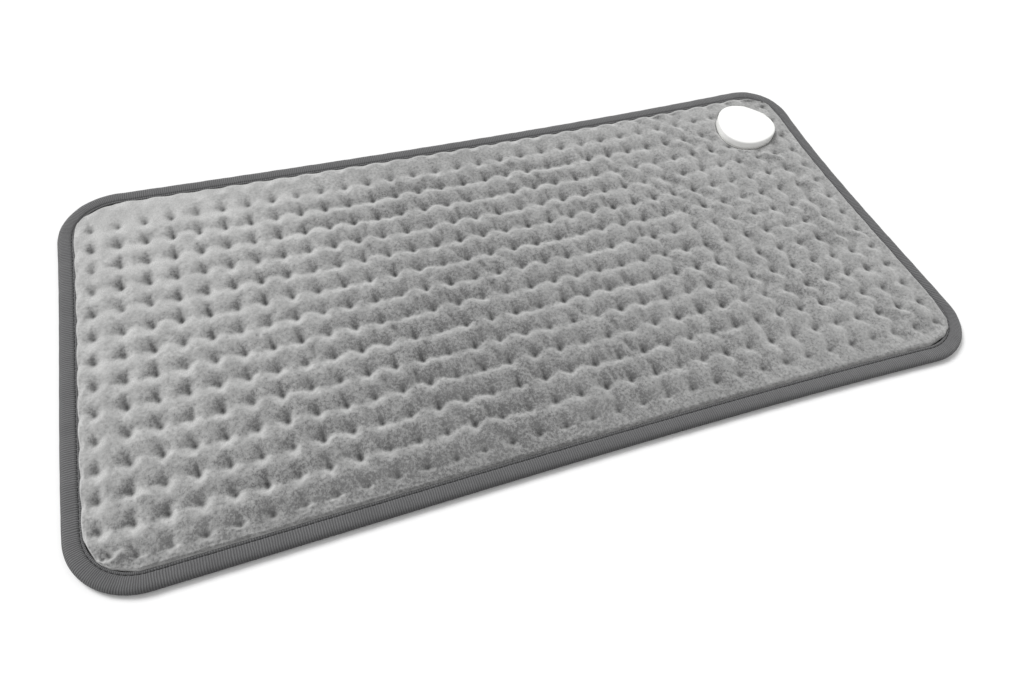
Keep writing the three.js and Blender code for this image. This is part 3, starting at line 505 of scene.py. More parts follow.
class Finishes(Enum):
    """Every finish on the pad and its controller."""

    # Front pile: painted sheen and shade from the spot, painted light on its left-hand end, painted shade
    # in its creases
    FRONT = Plush("grey_brushed_plush", "696969", "cccccb", "333333", 1.15)
    # Back pile: painted sheen and shade from a spot below the pad, and painted shade in its creases
    BACK = Plush(
        "grey_knit_back",
        "727272",
        "b8b8b7",
        "4a4a4a",
        0.0,
        relief=0.2,
        sheen_spot=(-150.0, -320.0, -420.0),
    )
    # The tape's last colour is the painted shade on its lower outer side
    TAPE = RibbedTape("dark_ribbed_binding", "7a7a7b", "525253", "29292b")
    SEAM = Thread("charcoal_sewing_thread", "3a3a3b", "262627")
    CAP = Moulded("white_gloss_abs", "fefefc", "fbfbf9", roughness=0.32, relief=0.004, coat=0.15)
    BASE = Moulded("white_matt_abs", "e6e6e3", "dededb", roughness=0.55, relief=0.01)
    BLACK = Moulded("black_moulded_nylon", "1d1d1f", "121213", roughness=0.5)
    RED = Moulded("red_moulded_acetal", "9c2b24", "84231d", roughness=0.4)
    LAMP = Moulded("clear_green_polycarbonate", "d9e6d2", "c4dcb8", roughness=0.15, transmission=0.6)
    WIRE = Moulded("ochre_silicone_sheath", "c7a24a", "b08d3c", roughness=0.6)
    LIVE = Moulded("red_silicone_sleeve", "9c2b24", "84231d", roughness=0.6)
    NEUTRAL = Moulded("blue_silicone_sleeve", "2c4a86", "23407a", roughness=0.6)
    SENSOR = Moulded("pale_silicone_sleeve", "dcdcda", "cfcfcc", roughness=0.6)
    WADDING = NonWoven("white_needled_wadding", "e9e7e1", "d5d2ca")
    CARRIER = NonWoven("bonded_carrier_sheet", "dcdacf", "c8c5b8", cloud_size=3.0, relief=0.06)
    BOARD = Laminate("green_glass_laminate", "1f5a36", "1a4d2e")
    STEEL = Metal("zinc_plated_steel", "c2c5c8", "9ea2a6", roughness=0.28)
    BRASS = Metal("drawn_brass", "c9a255", "a8843c", roughness=0.22)


class Wardrobe:
    """Builds each finish once and puts it on pieces."""

    sharp_from: float = 38.0  # degrees between two faces, from which their edge stays sharp
    merged_within: float = 0.002

    def __init__(self) -> None:
        """Starts with no material built."""
        self.built: dict[Finishes, bpy.types.Material] = {}

    def material(self, finish: Finishes) -> bpy.types.Material:
        """Gives a finish's material, made when it is first asked for.

        Args:
            finish: The finish.

        Returns:
            Its material.
        """
        if finish not in self.built:
            self.built[finish] = finish.value.build()
        return self.built[finish]

    def dress_node(self, node: str, finish: Finishes) -> None:
        """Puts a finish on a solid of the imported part.

        Args:
            node: The node's name.
            finish: The finish that it gets.
        """
        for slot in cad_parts[node].material_slots:
            slot.material = self.material(finish)

    def smooth_node(self, node: str, finish: Finishes, body: str) -> bpy.types.Object:
        """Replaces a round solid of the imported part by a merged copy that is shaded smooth.

        Args:
            node: The node's name.
            finish: The finish of the copy.
            body: The body that it rides on.

        Returns:
            The copy.
        """
        bm = bmesh.new()
        bm.from_mesh(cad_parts[node].data)
        bmesh.ops.remove_doubles(bm, verts=bm.verts, dist=self.merged_within * METRES)
        bmesh.ops.recalc_face_normals(bm, faces=bm.faces)
        copy = self.new_piece(f"smooth_{node}", bm, finish, body)
        copy.data.set_sharp_from_angle(angle=math.radians(self.sharp_from))
        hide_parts(node)
        return copy

    def new_piece(
        self,
        name: str,
        bm: bmesh.types.BMesh,
        finish: Finishes,
        body: str = PAD_BODY,
    ) -> bpy.types.Object:
        """Turns a finished bmesh into a piece.

        Args:
            name: The piece's name.
            bm: Its shape in metres, which is freed.
            finish: Its finish.
            body: The body that it rides on.

        Returns:
            The new object.
        """
        mesh = bpy.data.meshes.new(name)
        bm.to_mesh(mesh)
        bm.free()
        mesh.polygons.foreach_set("use_smooth", [True] * len(mesh.polygons))
        mesh.materials.append(self.material(finish))
        piece = bpy.data.objects.new(name, mesh)
        bpy.context.scene.collection.objects.link(piece)
        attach(piece, body)
        return piece


@dataclass(frozen=True)
class PadPlan:
    """Plan of the pad in millimetres: its drawn-in outline and the grid of its tufts.

    A plan point is first set in the plain rounded rectangle and then drawn in where the quilting
    takes up the cloth.
    """

    length: float = 600.0
    width: float = 306.0
    corner: float = 42.0
    far_bow: float = 6.5
    far_lean: float = 1.5
    near_bow: float = 4.1
    near_lean: float = 2.2
    right_bow: float = 6.3
    right_lean: float = 5.1
    left_lean: float = 2.5
    columns: int = 32
    rows: int = 14
    end_gap: float = 22.2
    side_gap: float = 28.8
    shift_x: float = -1.0
    shift_y: float = -4.9
    row_slope_share: float = 0.0169
    column_slope_share: float = 0.0143
    tape_width: float = 11.5
    corner_tuft_gap: float = 5.0
    measured_steps: tuple[int, int, int] = (24, 24, 24)

    @property
    def arc_centre(self) -> tuple[float, float]:
        """How far the corner arcs' centres lie from the middle along each axis."""
        return self.length / 2 - self.corner, self.width / 2 - self.corner

    def bowed(self, points: np.ndarray) -> np.ndarray:
        """Draws plan points in as the quilting does.

        Args:
            points: Places in the plain rounded rectangle.

        Returns:
            The drawn-in places, still about the plain rectangle's middle.
        """
        u = points[..., 0] / (self.length / 2)
        v = points[..., 1] / (self.width / 2)
        across, along = 1 - v * v, 1 - u * u
        left = self.left_lean * v * across * (1 - u) / 2
        right = (self.right_bow + self.right_lean * v) * across * (1 + u) / 2
        near = (self.near_bow + self.near_lean * u) * along * (1 - v) / 2
        far = (self.far_bow + self.far_lean * u) * along * (1 + v) / 2
        return np.stack([points[..., 0] + left - right, points[..., 1] + near - far], axis=-1)

    def drawn_in(self, points: np.ndarray) -> np.ndarray:
        """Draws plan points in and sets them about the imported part's origin.

        Args:
            points: Places in the plain rounded rectangle.

        Returns:
            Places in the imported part's plan.
        """
        outline = self.bowed(self.outline(0, *self.measured_steps))
        middle = (outline.min(axis=0) + outline.max(axis=0)) / 2
        return self.bowed(points) - middle

    def outline(self, inset: float, corner_steps: int, long_steps: int, short_steps: int) -> np.ndarray:
        """Gives the plain outline, counter-clockwise from the right-hand end of the far corner.

        Args:
            inset: How far inside the edge the line runs.
            corner_steps: Steps round each corner.
            long_steps: Steps along each long side.
            short_steps: Steps along each short side.

        Returns:
            One row for each point.
        """
        arc_x, arc_y = self.arc_centre
        radius = self.corner - inset
        signs = [(1, 1), (-1, 1), (-1, -1), (1, -1)]
        points: list[np.ndarray] = []
        for turn, (sign_x, sign_y) in enumerate(signs):
            angles = (turn + np.arange(corner_steps + 1) / corner_steps) * math.pi / 2
            bend = np.stack(
                [sign_x * arc_x + radius * np.cos(angles), sign_y * arc_y + radius * np.sin(angles)],
                axis=-1,
            )
            next_x, next_y = signs[(turn + 1) % len(signs)]
            along_x = turn % 2 == 0
            steps = long_steps if along_x else short_steps
            end = np.array([next_x * arc_x, bend[-1][1]] if along_x else [bend[-1][0], next_y * arc_y])
            shares = (np.arange(1, steps) / steps)[:, None]
            points += [bend, bend[-1] * (1 - shares) + end * shares]
        return np.concatenate(points)

    def tuft(self, column: float, row: float) -> tuple[float, float]:
        """Gives one tuft's plain place, kept clear of the tape in the round corners.

        Args:
            column: Its column, counted from one at the left.
            row: Its row, counted from one at the far side.

        Returns:
            Its place in the plain rounded rectangle.
        """
        pitch_x = (self.length - self.end_gap * 2) / (self.columns - 1)
        pitch_y = (self.width - self.side_gap * 2) / (self.rows - 1)
        across_x = pitch_x * (column - (self.columns + 1) / 2)
        across_y = -pitch_y * (row - (self.rows + 1) / 2)
        x = self.shift_x + across_x + across_y * self.column_slope_share
        y = self.shift_y + across_y + across_x * self.row_slope_share
        arc_x, arc_y = self.arc_centre
        past_x, past_y = abs(x) - arc_x, abs(y) - arc_y
        reach = self.corner - self.tape_width - self.corner_tuft_gap
        if min(past_x, past_y) <= 0 or math.hypot(past_x, past_y) <= reach:
            return x, y
        share = reach / math.hypot(past_x, past_y)
        return math.copysign(arc_x + past_x * share, x), math.copysign(arc_y + past_y * share, y)

    def grid(self, inset: float) -> np.ndarray:
        """Gives the plain places of every tuft and of the rim round them.

        Args:
            inset: How far inside the edge the rim lies.

        Returns:
            Places by row from the far side and by column from the left, with the rim as the
            first and last of each.
        """
        last_row, last_column = self.rows + 1, self.columns + 1
        arc_x, arc_y = self.arc_centre
        radius = self.corner - inset
        places = np.zeros((last_row + 1, last_column + 1, 2))
        for row in range(1, last_row):
            for column in range(1, last_column):
                places[row, column] = self.tuft(column, row)

        def edge(place: float, arc: float, cross: float) -> float:
            """Gives how far out the rim lies beside a place along a side."""
            return cross + math.sqrt(radius**2 - max(abs(place) - arc, 0.0) ** 2)

        for column in range(1, last_column):
            for row, inner, sign in ((0, 1, 1), (last_row, self.rows, -1)):
                x = places[inner, column, 0]
                places[row, column] = x, sign * edge(x, arc_x, arc_y)
        for row in range(1, last_row):
            for column, inner, sign in ((0, 1, -1), (last_column, self.columns, 1)):
                y = places[row, inner, 1]
                places[row, column] = sign * edge(y, arc_y, arc_x), y
        for column, inner_column, sign_x in ((0, 1, -1), (last_column, self.columns, 1)):
            for row, inner_row, sign_y in ((0, 1, 1), (last_row, self.rows, -1)):
                beside = (places[row, inner_column], places[inner_row, column])
                angles = [math.atan2(abs(y) - arc_y, abs(x) - arc_x) for x, y in beside]
                angle = sum(angles) / 2
                places[row, column] = (
                    sign_x * (arc_x + radius * math.cos(angle)),
                    sign_y * (arc_y + radius * math.sin(angle)),
                )
        return places


@dataclass(frozen=True)
class PodPlan:
    """Plan of the controller: a rounded three-sided pod with a nose towards the pad's corner."""

    from_end: float = 58.1
    from_side: float = 54.2
    turn: float = 44.4
    radius: float = 24.4
    lobes: int = 3
    lobe: float = 1.1
    nose_width: float = 26.0
    nose_stand: float = 2.0
    plug_room: float = 13.0
    throat: float = 15.9

    def own_places(self, pad: PadPlan, points: np.ndarray) -> np.ndarray:
        """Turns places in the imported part's plan into places about the pod, its nose along X.

        Args:
            pad: The plan that the pod is set on.
            points: Places in millimetres.

        Returns:
            The same places, measured from the pod's centre.
        """
        centre = pad.drawn_in(np.zeros(2)) - pad.bowed(np.zeros(2))
        centre = centre + np.array([pad.length / 2 - self.from_end, pad.width / 2 - self.from_side])
        cos, sin = math.cos(math.radians(self.turn)), math.sin(math.radians(self.turn))
        x, y = np.moveaxis(points - centre, -1, 0)
        return np.stack([x * cos + y * sin, y * cos - x * sin], axis=-1)

    def outside(self, own: np.ndarray) -> np.ndarray:
        """Gives how far places about the pod lie outside its wall and its nose, in millimetres."""
        wall = self.radius - self.lobe * np.cos(self.lobes * np.arctan2(own[..., 1], own[..., 0]))
        return np.minimum(np.hypot(own[..., 0], own[..., 1]) - wall, self.outside_nose(own, 0.0))

    def outside_nose(self, own: np.ndarray, room: float) -> np.ndarray:
        """Gives how far places about the pod lie outside its nose.

        Args:
            own: The places in millimetres.
            room: How much the nose is lengthened.

        Returns:
            Millimetres outside it, below zero inside.
        """
        reach = self.radius - self.lobe + self.nose_stand + room
        past_end = np.maximum(own[..., 0] - reach, -own[..., 0])
        return np.maximum(past_end, np.abs(own[..., 1]) - self.nose_width / 2)


def ease(value: np.ndarray, low: float, high: float) -> np.ndarray:
    """Rises smoothly from zero at one value to one at another."""
    share = np.clip((value - low) / (high - low), 0, 1)
    return share * share * (3 - 2 * share)


@dataclass(frozen=True)
class Graded:
    """A value that changes from the pad's middle towards its two ends.

    Each change starts at a distance from the middle and is complete at another, in millimetres.
    """

    middle: float
    right: float
    left: float
    right_from: float = 60.0
    left_from: float = 60.0
    complete_at: float = 220.0

    def at(self, x: np.ndarray) -> np.ndarray:
        """Gives the value at some places.

        Args:
            x: Places along the pad, in millimetres from its middle.

        Returns:
            The value at each.
        """
        to_right = ease(x, self.right_from, self.complete_at)
        to_left = ease(-x, self.left_from, self.complete_at)
        return self.middle + (self.right - self.middle) * to_right + (self.left - self.middle) * to_left


@dataclass
class ClothSettling:
    """Blender's cloth, run on the plush: it is cut with slack, and its tufts draw it together.

    The cloth starts flat and too large by its slack, its tufts and rim are pulled to their places,
    and what is left over stands up between them in puffs and creases. Slack is a share of the
    cloth's length or width. The other values are in the solver's own units.
    """

    slack_along: Graded = Graded(0.016, 0.035, 0.016, right_from=70.0)
    slack_across: Graded = Graded(0.014, 0.014, 0.01, left_from=90.0)
    ruler_marks: int = 400
    enlarged: float = 10.0  # so that the solver's cloth is metres long
    frames: int = 20
    drawn_by: int = 10
    quality: int = 5
    mass: float = 0.02
    stretch: float = 40.0
    shear: float = 5.0
    damping: float = 1.0
    bending: float = 0.5
    bending_damping: float = 0.1
    lift: float = 2.0

    def cut(self, target: np.ndarray) -> np.ndarray:
        """Spreads the cloth out by its slack, which is largest along the pad at its right-hand end.

        Args:
            target: Where each corner would lie without slack, in metres.

        Returns:
            Where each corner lies before the tufts draw the cloth together, in metres.
        """
        x = target[:, 0] / METRES
        ruler = np.linspace(x.min(), x.max(), self.ruler_marks)
        along = self.slack_along.at(ruler)
        gained = np.concatenate([[0], np.cumsum((along[1:] + along[:-1]) / 2 * np.diff(ruler))])
        gained -= np.interp(0.0, ruler, gained)
        spread_out = target.copy()
        spread_out[:, 0] += np.interp(x, ruler, gained) * METRES
        spread_out[:, 1] *= 1 + self.slack_across.at(x)
        return spread_out

    def hung(self, mesh: bpy.types.Mesh, target: np.ndarray, held: np.ndarray) -> bpy.types.Object:
        """Sets the cloth up, from its cut shape to the one that its tufts pull it to.

        Args:
            mesh: Any mesh with the cloth's faces.
            target: Where each corner would lie without slack, in metres.
            held: Which corners the tufts, the rim and the controller hold.

        Returns:
            The cloth, before its first frame.
        """
        start = self.cut(target) * self.enlarged
        mesh.vertices.foreach_set("co", start.astype(np.float32).ravel())
        cloth = bpy.data.objects.new("settling_cloth", mesh)
        bpy.context.scene.collection.objects.link(cloth)
        cloth.shape_key_add(name="cut")
        drawn = cloth.shape_key_add(name="drawn")
        drawn.data.foreach_set("co", (target * self.enlarged).astype(np.float32).ravel())
        for share, frame_number in ((0.0, 1), (1.0, self.drawn_by)):
            drawn.value = share
            drawn.keyframe_insert("value", frame=frame_number)
        group = cloth.vertex_groups.new(name="held")
        group.add([int(corner) for corner in np.nonzero(held)[0]], 1.0, "REPLACE")
        modifier = cloth.modifiers.new("cloth", "CLOTH")
        settings = modifier.settings
        settings.quality = self.quality
        settings.mass = self.mass
        settings.tension_stiffness = settings.compression_stiffness = self.stretch
        settings.tension_damping = settings.compression_damping = settings.shear_damping = self.damping
        settings.shear_stiffness = self.shear
        settings.bending_stiffness = self.bending
        settings.bending_damping = self.bending_damping
        settings.vertex_group_mass = group.name
        settings.effector_weights.gravity = 0.0
        modifier.collision_settings.use_collision = False
        modifier.point_cache.frame_start = 1
        modifier.point_cache.frame_end = self.frames
        return cloth

    def settle(self, mesh: bpy.types.Mesh, target: np.ndarray, held: np.ndarray) -> np.ndarray:
        """Runs the cloth, with a light wind from below that lifts it into puffs.

        Args:
            mesh: Any mesh with the cloth's faces.
            target: Where each corner would lie without slack, in metres.
            held: Which corners the tufts, the rim and the controller hold.

        Returns:
            Where each corner comes to rest, in metres.
        """
        scene = bpy.context.scene
        cloth = self.hung(mesh, target, held)
        bpy.ops.object.effector_add(type="WIND", location=(0.0, 0.0, -1.0))
        wind = bpy.context.object
        wind.field.strength = self.lift
        wind.field.flow = 0.0
        wind.field.noise = 0.0
        for frame_number in range(1, self.frames + 1):
            scene.frame_set(frame_number)
        settled = cloth.evaluated_get(bpy.context.evaluated_depsgraph_get())
        rest = np.zeros(len(target) * 3, np.float32)
        settled.data.vertices.foreach_get("co", rest)
        action = mesh.shape_keys.animation_data.action
        bpy.data.objects.remove(wind)
        bpy.data.objects.remove(cloth)
        bpy.data.actions.remove(action)
        scene.frame_set(1)
        return rest.reshape(-1, 3).astype(float) / self.enlarged


class Lots:
    """Random values, one for each tuft or cell of the quilting, looked up for every corner."""

    def __init__(self, seed: int, count: int, number: np.ndarray) -> None:
        """Starts the draws.

        Args:
            seed: Where the random numbers start.
            count: How many tufts or cells there are.
            number: Which of them each corner belongs to.
        """
        self.rng = np.random.default_rng(seed)
        self.count = count
        self.number = number

    def between(self, low: float, high: float) -> np.ndarray:
        """Draws values between two others."""
        return self.rng.uniform(low, high, self.count)[self.number]

    def some(self, low: float, high: float) -> np.ndarray:
        """Draws shares up to one, of which those drawn below zero are none."""
        return np.clip(self.between(low, high), 0, 1)

    def whole(self, low: int, high: int) -> np.ndarray:
        """Draws whole numbers from one up to but not including another."""
        return self.rng.integers(low, high, self.count)[self.number]


@dataclass(frozen=True)
class Dips:
    """The dip that each tuft pulls into the cloth, with a few pinched creases round it."""

    depth: float = 1.2
    reach: float = 2.4
    pinch: float = 0.16
    strength: tuple[float, float] = (0.7, 1.2)
    creases: tuple[int, int] = (4, 8)
    power: float = 1.2

    def sunk(self, from_tuft: np.ndarray, lots: Lots) -> tuple[np.ndarray, np.ndarray]:
        """Gives how the cloth sinks round its tufts.

        Args:
            from_tuft: Each corner's place from its nearest tuft, in millimetres.
            lots: Draws for each tuft.

        Returns:
            How far it sinks in millimetres, and the dips without their creases as shares.
        """
        strength = lots.between(*self.strength)
        turn = lots.between(0, 2 * math.pi)
        creases = lots.whole(*self.creases)
        distance = np.hypot(from_tuft[:, 0], from_tuft[:, 1])
        crease = np.cos(creases * np.arctan2(from_tuft[:, 1], from_tuft[:, 0]) + turn)
        crease = crease * np.exp(-(((distance - self.reach) / self.reach) ** 2))
        crease = crease * ease(distance, 0, self.reach / 2)
        dip = strength * np.exp(-((distance / self.reach) ** self.power))
        return self.depth * dip + self.pinch * crease, dip


@dataclass(frozen=True)
class Streaks:
    """Slanted folds from some of the tufts across the pad, longer on a tuft's far side."""

    depth: float = 1.1
    width: float = 1.3
    far_length: float = 8.0
    near_length: float = 2.5
    drawn: tuple[float, float] = (-0.6, 1.0)
    slant: tuple[float, float] = (-0.1, 0.5)

    def shares(self, from_tuft: np.ndarray, lots: Lots) -> np.ndarray:
        """Gives how deep the folds are.

        Args:
            from_tuft: Each corner's place from its nearest tuft, in millimetres.
            lots: Draws for each tuft.

        Returns:
            Shares from zero to one at the bottom of the deepest.
        """
        drawn = lots.some(*self.drawn)
        off = from_tuft[:, 0] + lots.between(*self.slant) * from_tuft[:, 1]
        length = np.where(from_tuft[:, 1] > 0, self.far_length, self.near_length)
        return drawn * np.exp(-((off / self.width) ** 2)) * np.exp(-((from_tuft[:, 1] / length) ** 2))


@dataclass(frozen=True)
class Wrinkles:
    """Short slanted wrinkles in the near flanks of some of the puffs, placed in shares of a cell."""

    depth: float = 1.5
    width: float = 0.085
    in_cell: int = 2
    place: tuple[float, float] = (0.25, 0.75)
    slant: tuple[float, float] = (-0.15, 0.35)
    drawn: tuple[float, float] = (-0.9, 1.0)
    hinge: float = 0.7
    starts: tuple[float, float] = (0.25, 0.55)
    stops: tuple[float, float] = (0.88, 1.0)
    kept: Graded = Graded(1.0, 0.0, 0.15)

    def shares(self, within: np.ndarray, x: np.ndarray, lots: Lots) -> np.ndarray:
        """Gives how deep the wrinkles are.

        Args:
            within: Each corner's share along and down its cell.
            x: Its place along the pad, in millimetres.
            lots: Draws for each cell.

        Returns:
            Shares from zero to about one at the bottom of the deepest.
        """
        along, down = within.T
        length = ease(down, *self.starts) * (1 - ease(down, *self.stops))
        deep = np.zeros(len(x))
        for _ in range(self.in_cell):
            off = along - lots.between(*self.place) - lots.between(*self.slant) * (down - self.hinge)
            deep += lots.some(*self.drawn) * length * np.exp(-((off / self.width) ** 2))
        return deep * self.kept.at(x)


@dataclass(frozen=True)
class TuftLines:
    """One set of lines through the tufts, along the rows or the columns, that the cloth sinks towards.

    A line's depth half-way between two tufts is its hold. Past a line the cloth rises steeply and
    runs flat to the next one, and where the lines are turned it does so the other way round.
    Places across the lines and along them are counted in lines and in tufts.
    """

    hold: Graded
    turned: Graded
    lean: Graded
    sway_x: float
    sway_y: float
    sway: float = 0.12
    steepness: Graded = Graded(0.15, 0.21, 0.225)
    flatness: Graded = Graded(4.2, 1.8, 5.2)
    flank_power: float = 1.3
    before_tuft: Graded = Graded(0.2375, 0.133, 0.2375)
    after_tuft: float = 0.133
    pinch_power: float = 1.5
    hold_each: tuple[float, float] = (0.1, 1.6)
    hold_line: tuple[float, float] = (0.5, 1.5)
    outer_share: float = 0.3

    def swayed(self, across: np.ndarray, between: np.ndarray, flat: np.ndarray, last: int) -> np.ndarray:
        """Shifts places across the lines, which sway and lean off the straight between their tufts.

        Args:
            across: Places across the lines.
            between: Zero at the tufts' height along the lines and one half-way between them.
            flat: Places in the plan, in millimetres.
            last: Number of the rim's line, which nothing passes.

        Returns:
            The shifted places.
        """
        wave = np.sin(flat[:, 0] / self.sway_x + flat[:, 1] / self.sway_y)
        shift = between * (self.sway * wave + self.lean.at(flat[:, 0]))
        return np.clip(across + shift, 0, last - NEAR)

    def sunk(
        self,
        along: np.ndarray,
        across: np.ndarray,
        x: np.ndarray,
        count: int,
        seed: int,
    ) -> np.ndarray:
        """Gives how far the cloth sinks towards the lines.

        Args:
            along: Places along the lines.
            across: Places across the lines.
            x: Places along the pad, in millimetres.
            count: How many lines, and stretches of a line, are drawn for.
            seed: Where the draws of how unevenly the lines hold start.

        Returns:
            From zero on top of a puff to one at a tuft.
        """
        cell = np.floor(along + TINY).astype(int)
        line = np.floor(across + TINY).astype(int)
        share = np.clip(across - line, 0, 1)
        rng = np.random.default_rng(seed)
        held = rng.uniform(*self.hold_each, (count, count)) * rng.uniform(*self.hold_line, (count, 1))
        held[[1, int(across.max())]] *= self.outer_share
        off_tuft = along - np.round(along)
        width = np.where(off_tuft < 0, self.before_tuft.at(x), self.after_tuft)
        pinch = np.exp(-((np.abs(off_tuft) / width) ** self.pinch_power))
        steepness, flatness = self.steepness.at(x), self.flatness.at(x)
        hold, turned = self.hold.at(x), self.turned.at(x)
        depth = np.zeros(len(x))
        for from_line, number, turn in ((share, line, turned), (1 - share, line + 1, 1 - turned)):
            steep = np.exp(-((from_line / steepness) ** self.flank_power))
            flat = (1 - from_line) ** flatness
            flank = steep + (flat - steep) * turn
            depth += flank * (pinch + hold * held[number, cell] * (1 - pinch))
        return np.clip(depth, 0, 1)


class Side(Enum):
    """Which way a cover's tufted face looks."""

    UP = 1
    DOWN = -1


@dataclass(frozen=True)
class Fold:
    """One fold of the front cover, which stands up along a line and falls steeply on its left."""

    line: tuple[tuple[float, float], ...]
    height: float
    width: float
    left_share: float = 0.4
    marks: int = 40

    def rise(self, flat: np.ndarray) -> np.ndarray:
        """Gives how far the fold lifts the cloth.

        Args:
            flat: Places in the plan, in millimetres.

        Returns:
            The lift at each place, in millimetres.
        """
        points = np.array(self.line)
        marks = np.linspace(0, len(points) - 1, self.marks)
        spine = np.column_stack([np.interp(marks, np.arange(len(points)), axis) for axis in points.T])
        away = flat[:, None] - spine[None]
        distance = np.hypot(away[..., 0], away[..., 1])
        nearest = distance.argmin(axis=1)
        ahead = np.gradient(spine, axis=0)[nearest]
        off = away[np.arange(len(flat)), nearest]
        left = ahead[:, 0] * off[:, 1] - ahead[:, 1] * off[:, 0] > 0
        reach = self.width * np.where(left, self.left_share, 1.0)
        taper = np.sqrt(np.sin(math.pi * nearest / (self.marks - 1)))
        return self.height * taper * np.exp(-((distance.min(axis=1) / reach) ** 2))


@dataclass(frozen=True)
class Shoulder:
    """How the outermost puffs round over into the edge tape along one side of the pad.

    A puff bulges outwards by the overhang, and all of the side moves outwards by the shift.
    """

    outwards: tuple[float, float]
    overhang: float = 0.0
    shift: float = 0.0
    flat_share: float = 0.8
    puff_share: float = 0.0
    fades: tuple[float, float] = (0.1, 0.55)


@dataclass
class TuftedCover:
    """One plush cover: a tufted face, a rim tucked into the edge tape and a flat inner face.

    The face is a grid with the same number of steps in every cell of the quilting, so each tuft is
    one of its corners. Heights count from the surface that the pad lies on. A pair named `within`
    or `fades` says where something starts and is complete, in cells from the rim.
    """

    plan: PadPlan
    pod: PodPlan
    name: str
    node: str
    finish: Finishes
    side: Side
    cell_steps: int
    dip: float  # height of a tuft
    crown: float  # height of a puff's top
    edge_crown: float  # height of an outermost puff's top
    rim: float  # height of the face's edge
    rim_inset: float
    tucked: float  # height that the rim reaches inside the tape
    inner: float  # height of the flat inner face
    pressed: float  # height of the controller's seat
    fill: float
    dips: Dips = Dips()
    streaks: Streaks = Streaks()
    wrinkles: Wrinkles = Wrinkles()
    # share of painted shade along the streaks and wrinkles
    streak_shade: float = 0.5
    folds: tuple[Fold, ...] = ()
    row_lines: TuftLines = TuftLines(
        hold=Graded(0.42, 0.1, 0.06),
        turned=Graded(0.0, 0.0, 0.0),
        lean=Graded(0.0, 0.0, 0.0),
        sway_x=13.0,
        sway_y=17.1,
    )
    column_lines: TuftLines = TuftLines(
        hold=Graded(0.15, 1.0, 0.07),
        turned=Graded(0.0, 1.0, 0.0),
        lean=Graded(0.0, -0.2, 0.0),
        sway_x=19.3,
        sway_y=14.0,
    )
    shoulders: tuple[Shoulder, ...] = (
        Shoulder((0.0, 1.0), 1.4, -2.2, 0.45, 0.55, (0.1, 0.35)),
        Shoulder((-1.0, 0.0), 0.56, -0.3, 0.45, 0.55, (0.1, 0.35)),
        Shoulder((0.0, -1.0)),
        Shoulder((1.0, 0.0)),
    )
    shoulder_share: float = 0.16
    bulge_share: float = 0.256
    valley_share: float = 0.35
    held_share: float = 0.75
    low_share: float = 0.35
    edge_within: tuple[float, float] = (0.5, 1.6)
    dips_within: tuple[float, float] = (0.15, 0.9)
    creases_within: tuple[float, float] = (0.9, 1.7)
    lowest_within: tuple[float, float] = (0.0, 0.25)
    lowest: float = 6.1
    softness: float = 0.4
    unevenness: float = 0.08
    # Painted shade for the plush colour: its share at the dips and in low valleys, what is taken off
    # everywhere, its share in wrinkles, and the puff heights over which a valley's shade deepens
    dip_shade: float = 0.8
    valley_shade: float = 0.35
    shade_offset: float = 0.1
    wrinkle_shade: float = 0.7
    valley_shade_depths: tuple[float, float] = (0.6, 1.3)
    seat_margin: float = 0.5
    seat_slope: tuple[float, float] = (0.4, 2.6)
    room_slope: tuple[float, float] = (-1.5, 3.0)
    room_lift: tuple[float, float] = (1.0, 4.0)
    throat_gap: float = 0.8
    settling: ClothSettling | None = None
    seed: int = 7

    def coordinates(self, bm: bmesh.types.BMesh) -> np.ndarray:
        """Finds each corner of the unit grid in the quilting.

        Args:
            bm: The grid.

        Returns:
            Column and row of each corner, with fractions inside the cells.
        """
        flat = np.array([corner.co[:2] for corner in bm.verts])
        columns = (flat[:, 0] + 1) / 2 * (self.plan.columns + 1)
        rows = (1 - flat[:, 1]) / 2 * (self.plan.rows + 1)
        return np.stack([columns, rows], axis=-1)

    def on_plan(self, spots: np.ndarray, places: np.ndarray) -> np.ndarray:
        """Sets columns and rows of the quilting out on the drawn-in plan.

        Args:
            spots: Column and row of each corner.
            places: The plain places that PadPlan.grid gives.

        Returns:
            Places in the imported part's plan, in millimetres.
        """
        column = np.clip(np.floor(spots[:, 0] + NEAR).astype(int), 0, self.plan.columns)
        row = np.clip(np.floor(spots[:, 1] + NEAR).astype(int), 0, self.plan.rows)
        along = (spots[:, 0] - column)[:, None]
        down = (spots[:, 1] - row)[:, None]
        far = places[row, column] * (1 - along) + places[row, column + 1] * along
        near = places[row + 1, column] * (1 - along) + places[row + 1, column + 1] * along
        return self.plan.drawn_in(far * (1 - down) + near * down)

    def at_rim(self, spots: np.ndarray) -> np.ndarray:
        """Says which corners lie on the rim."""
        ends = np.array([self.plan.columns + 1, self.plan.rows + 1])
        return ((spots < NEAR) | (spots > ends - NEAR)).any(axis=1)

    def at_tuft(self, spots: np.ndarray) -> np.ndarray:
        """Says which corners are tufts."""
        return (np.abs(spots - np.round(spots)) < NEAR).all(axis=1) & ~self.at_rim(spots)

    def under_pod(self, flat: np.ndarray) -> np.ndarray:
        """Says which places in the plan the controller presses down."""
        return self.pod.outside(self.pod.own_places(self.plan, flat)) < self.seat_margin

    def lots(self, tufts: np.ndarray, draw: int) -> Lots:
        """Starts the random draws for tufts or cells.

        Args:
            tufts: Column and row of the one that each corner belongs to.
            draw: Which of the cover's draws it is.

        Returns:
            The draws.
        """
        across = self.plan.columns + 2
        number = (tufts[:, 1] * across + tufts[:, 0]).astype(int)
        return Lots(self.seed + draw, (self.plan.rows + 2) * across, number)

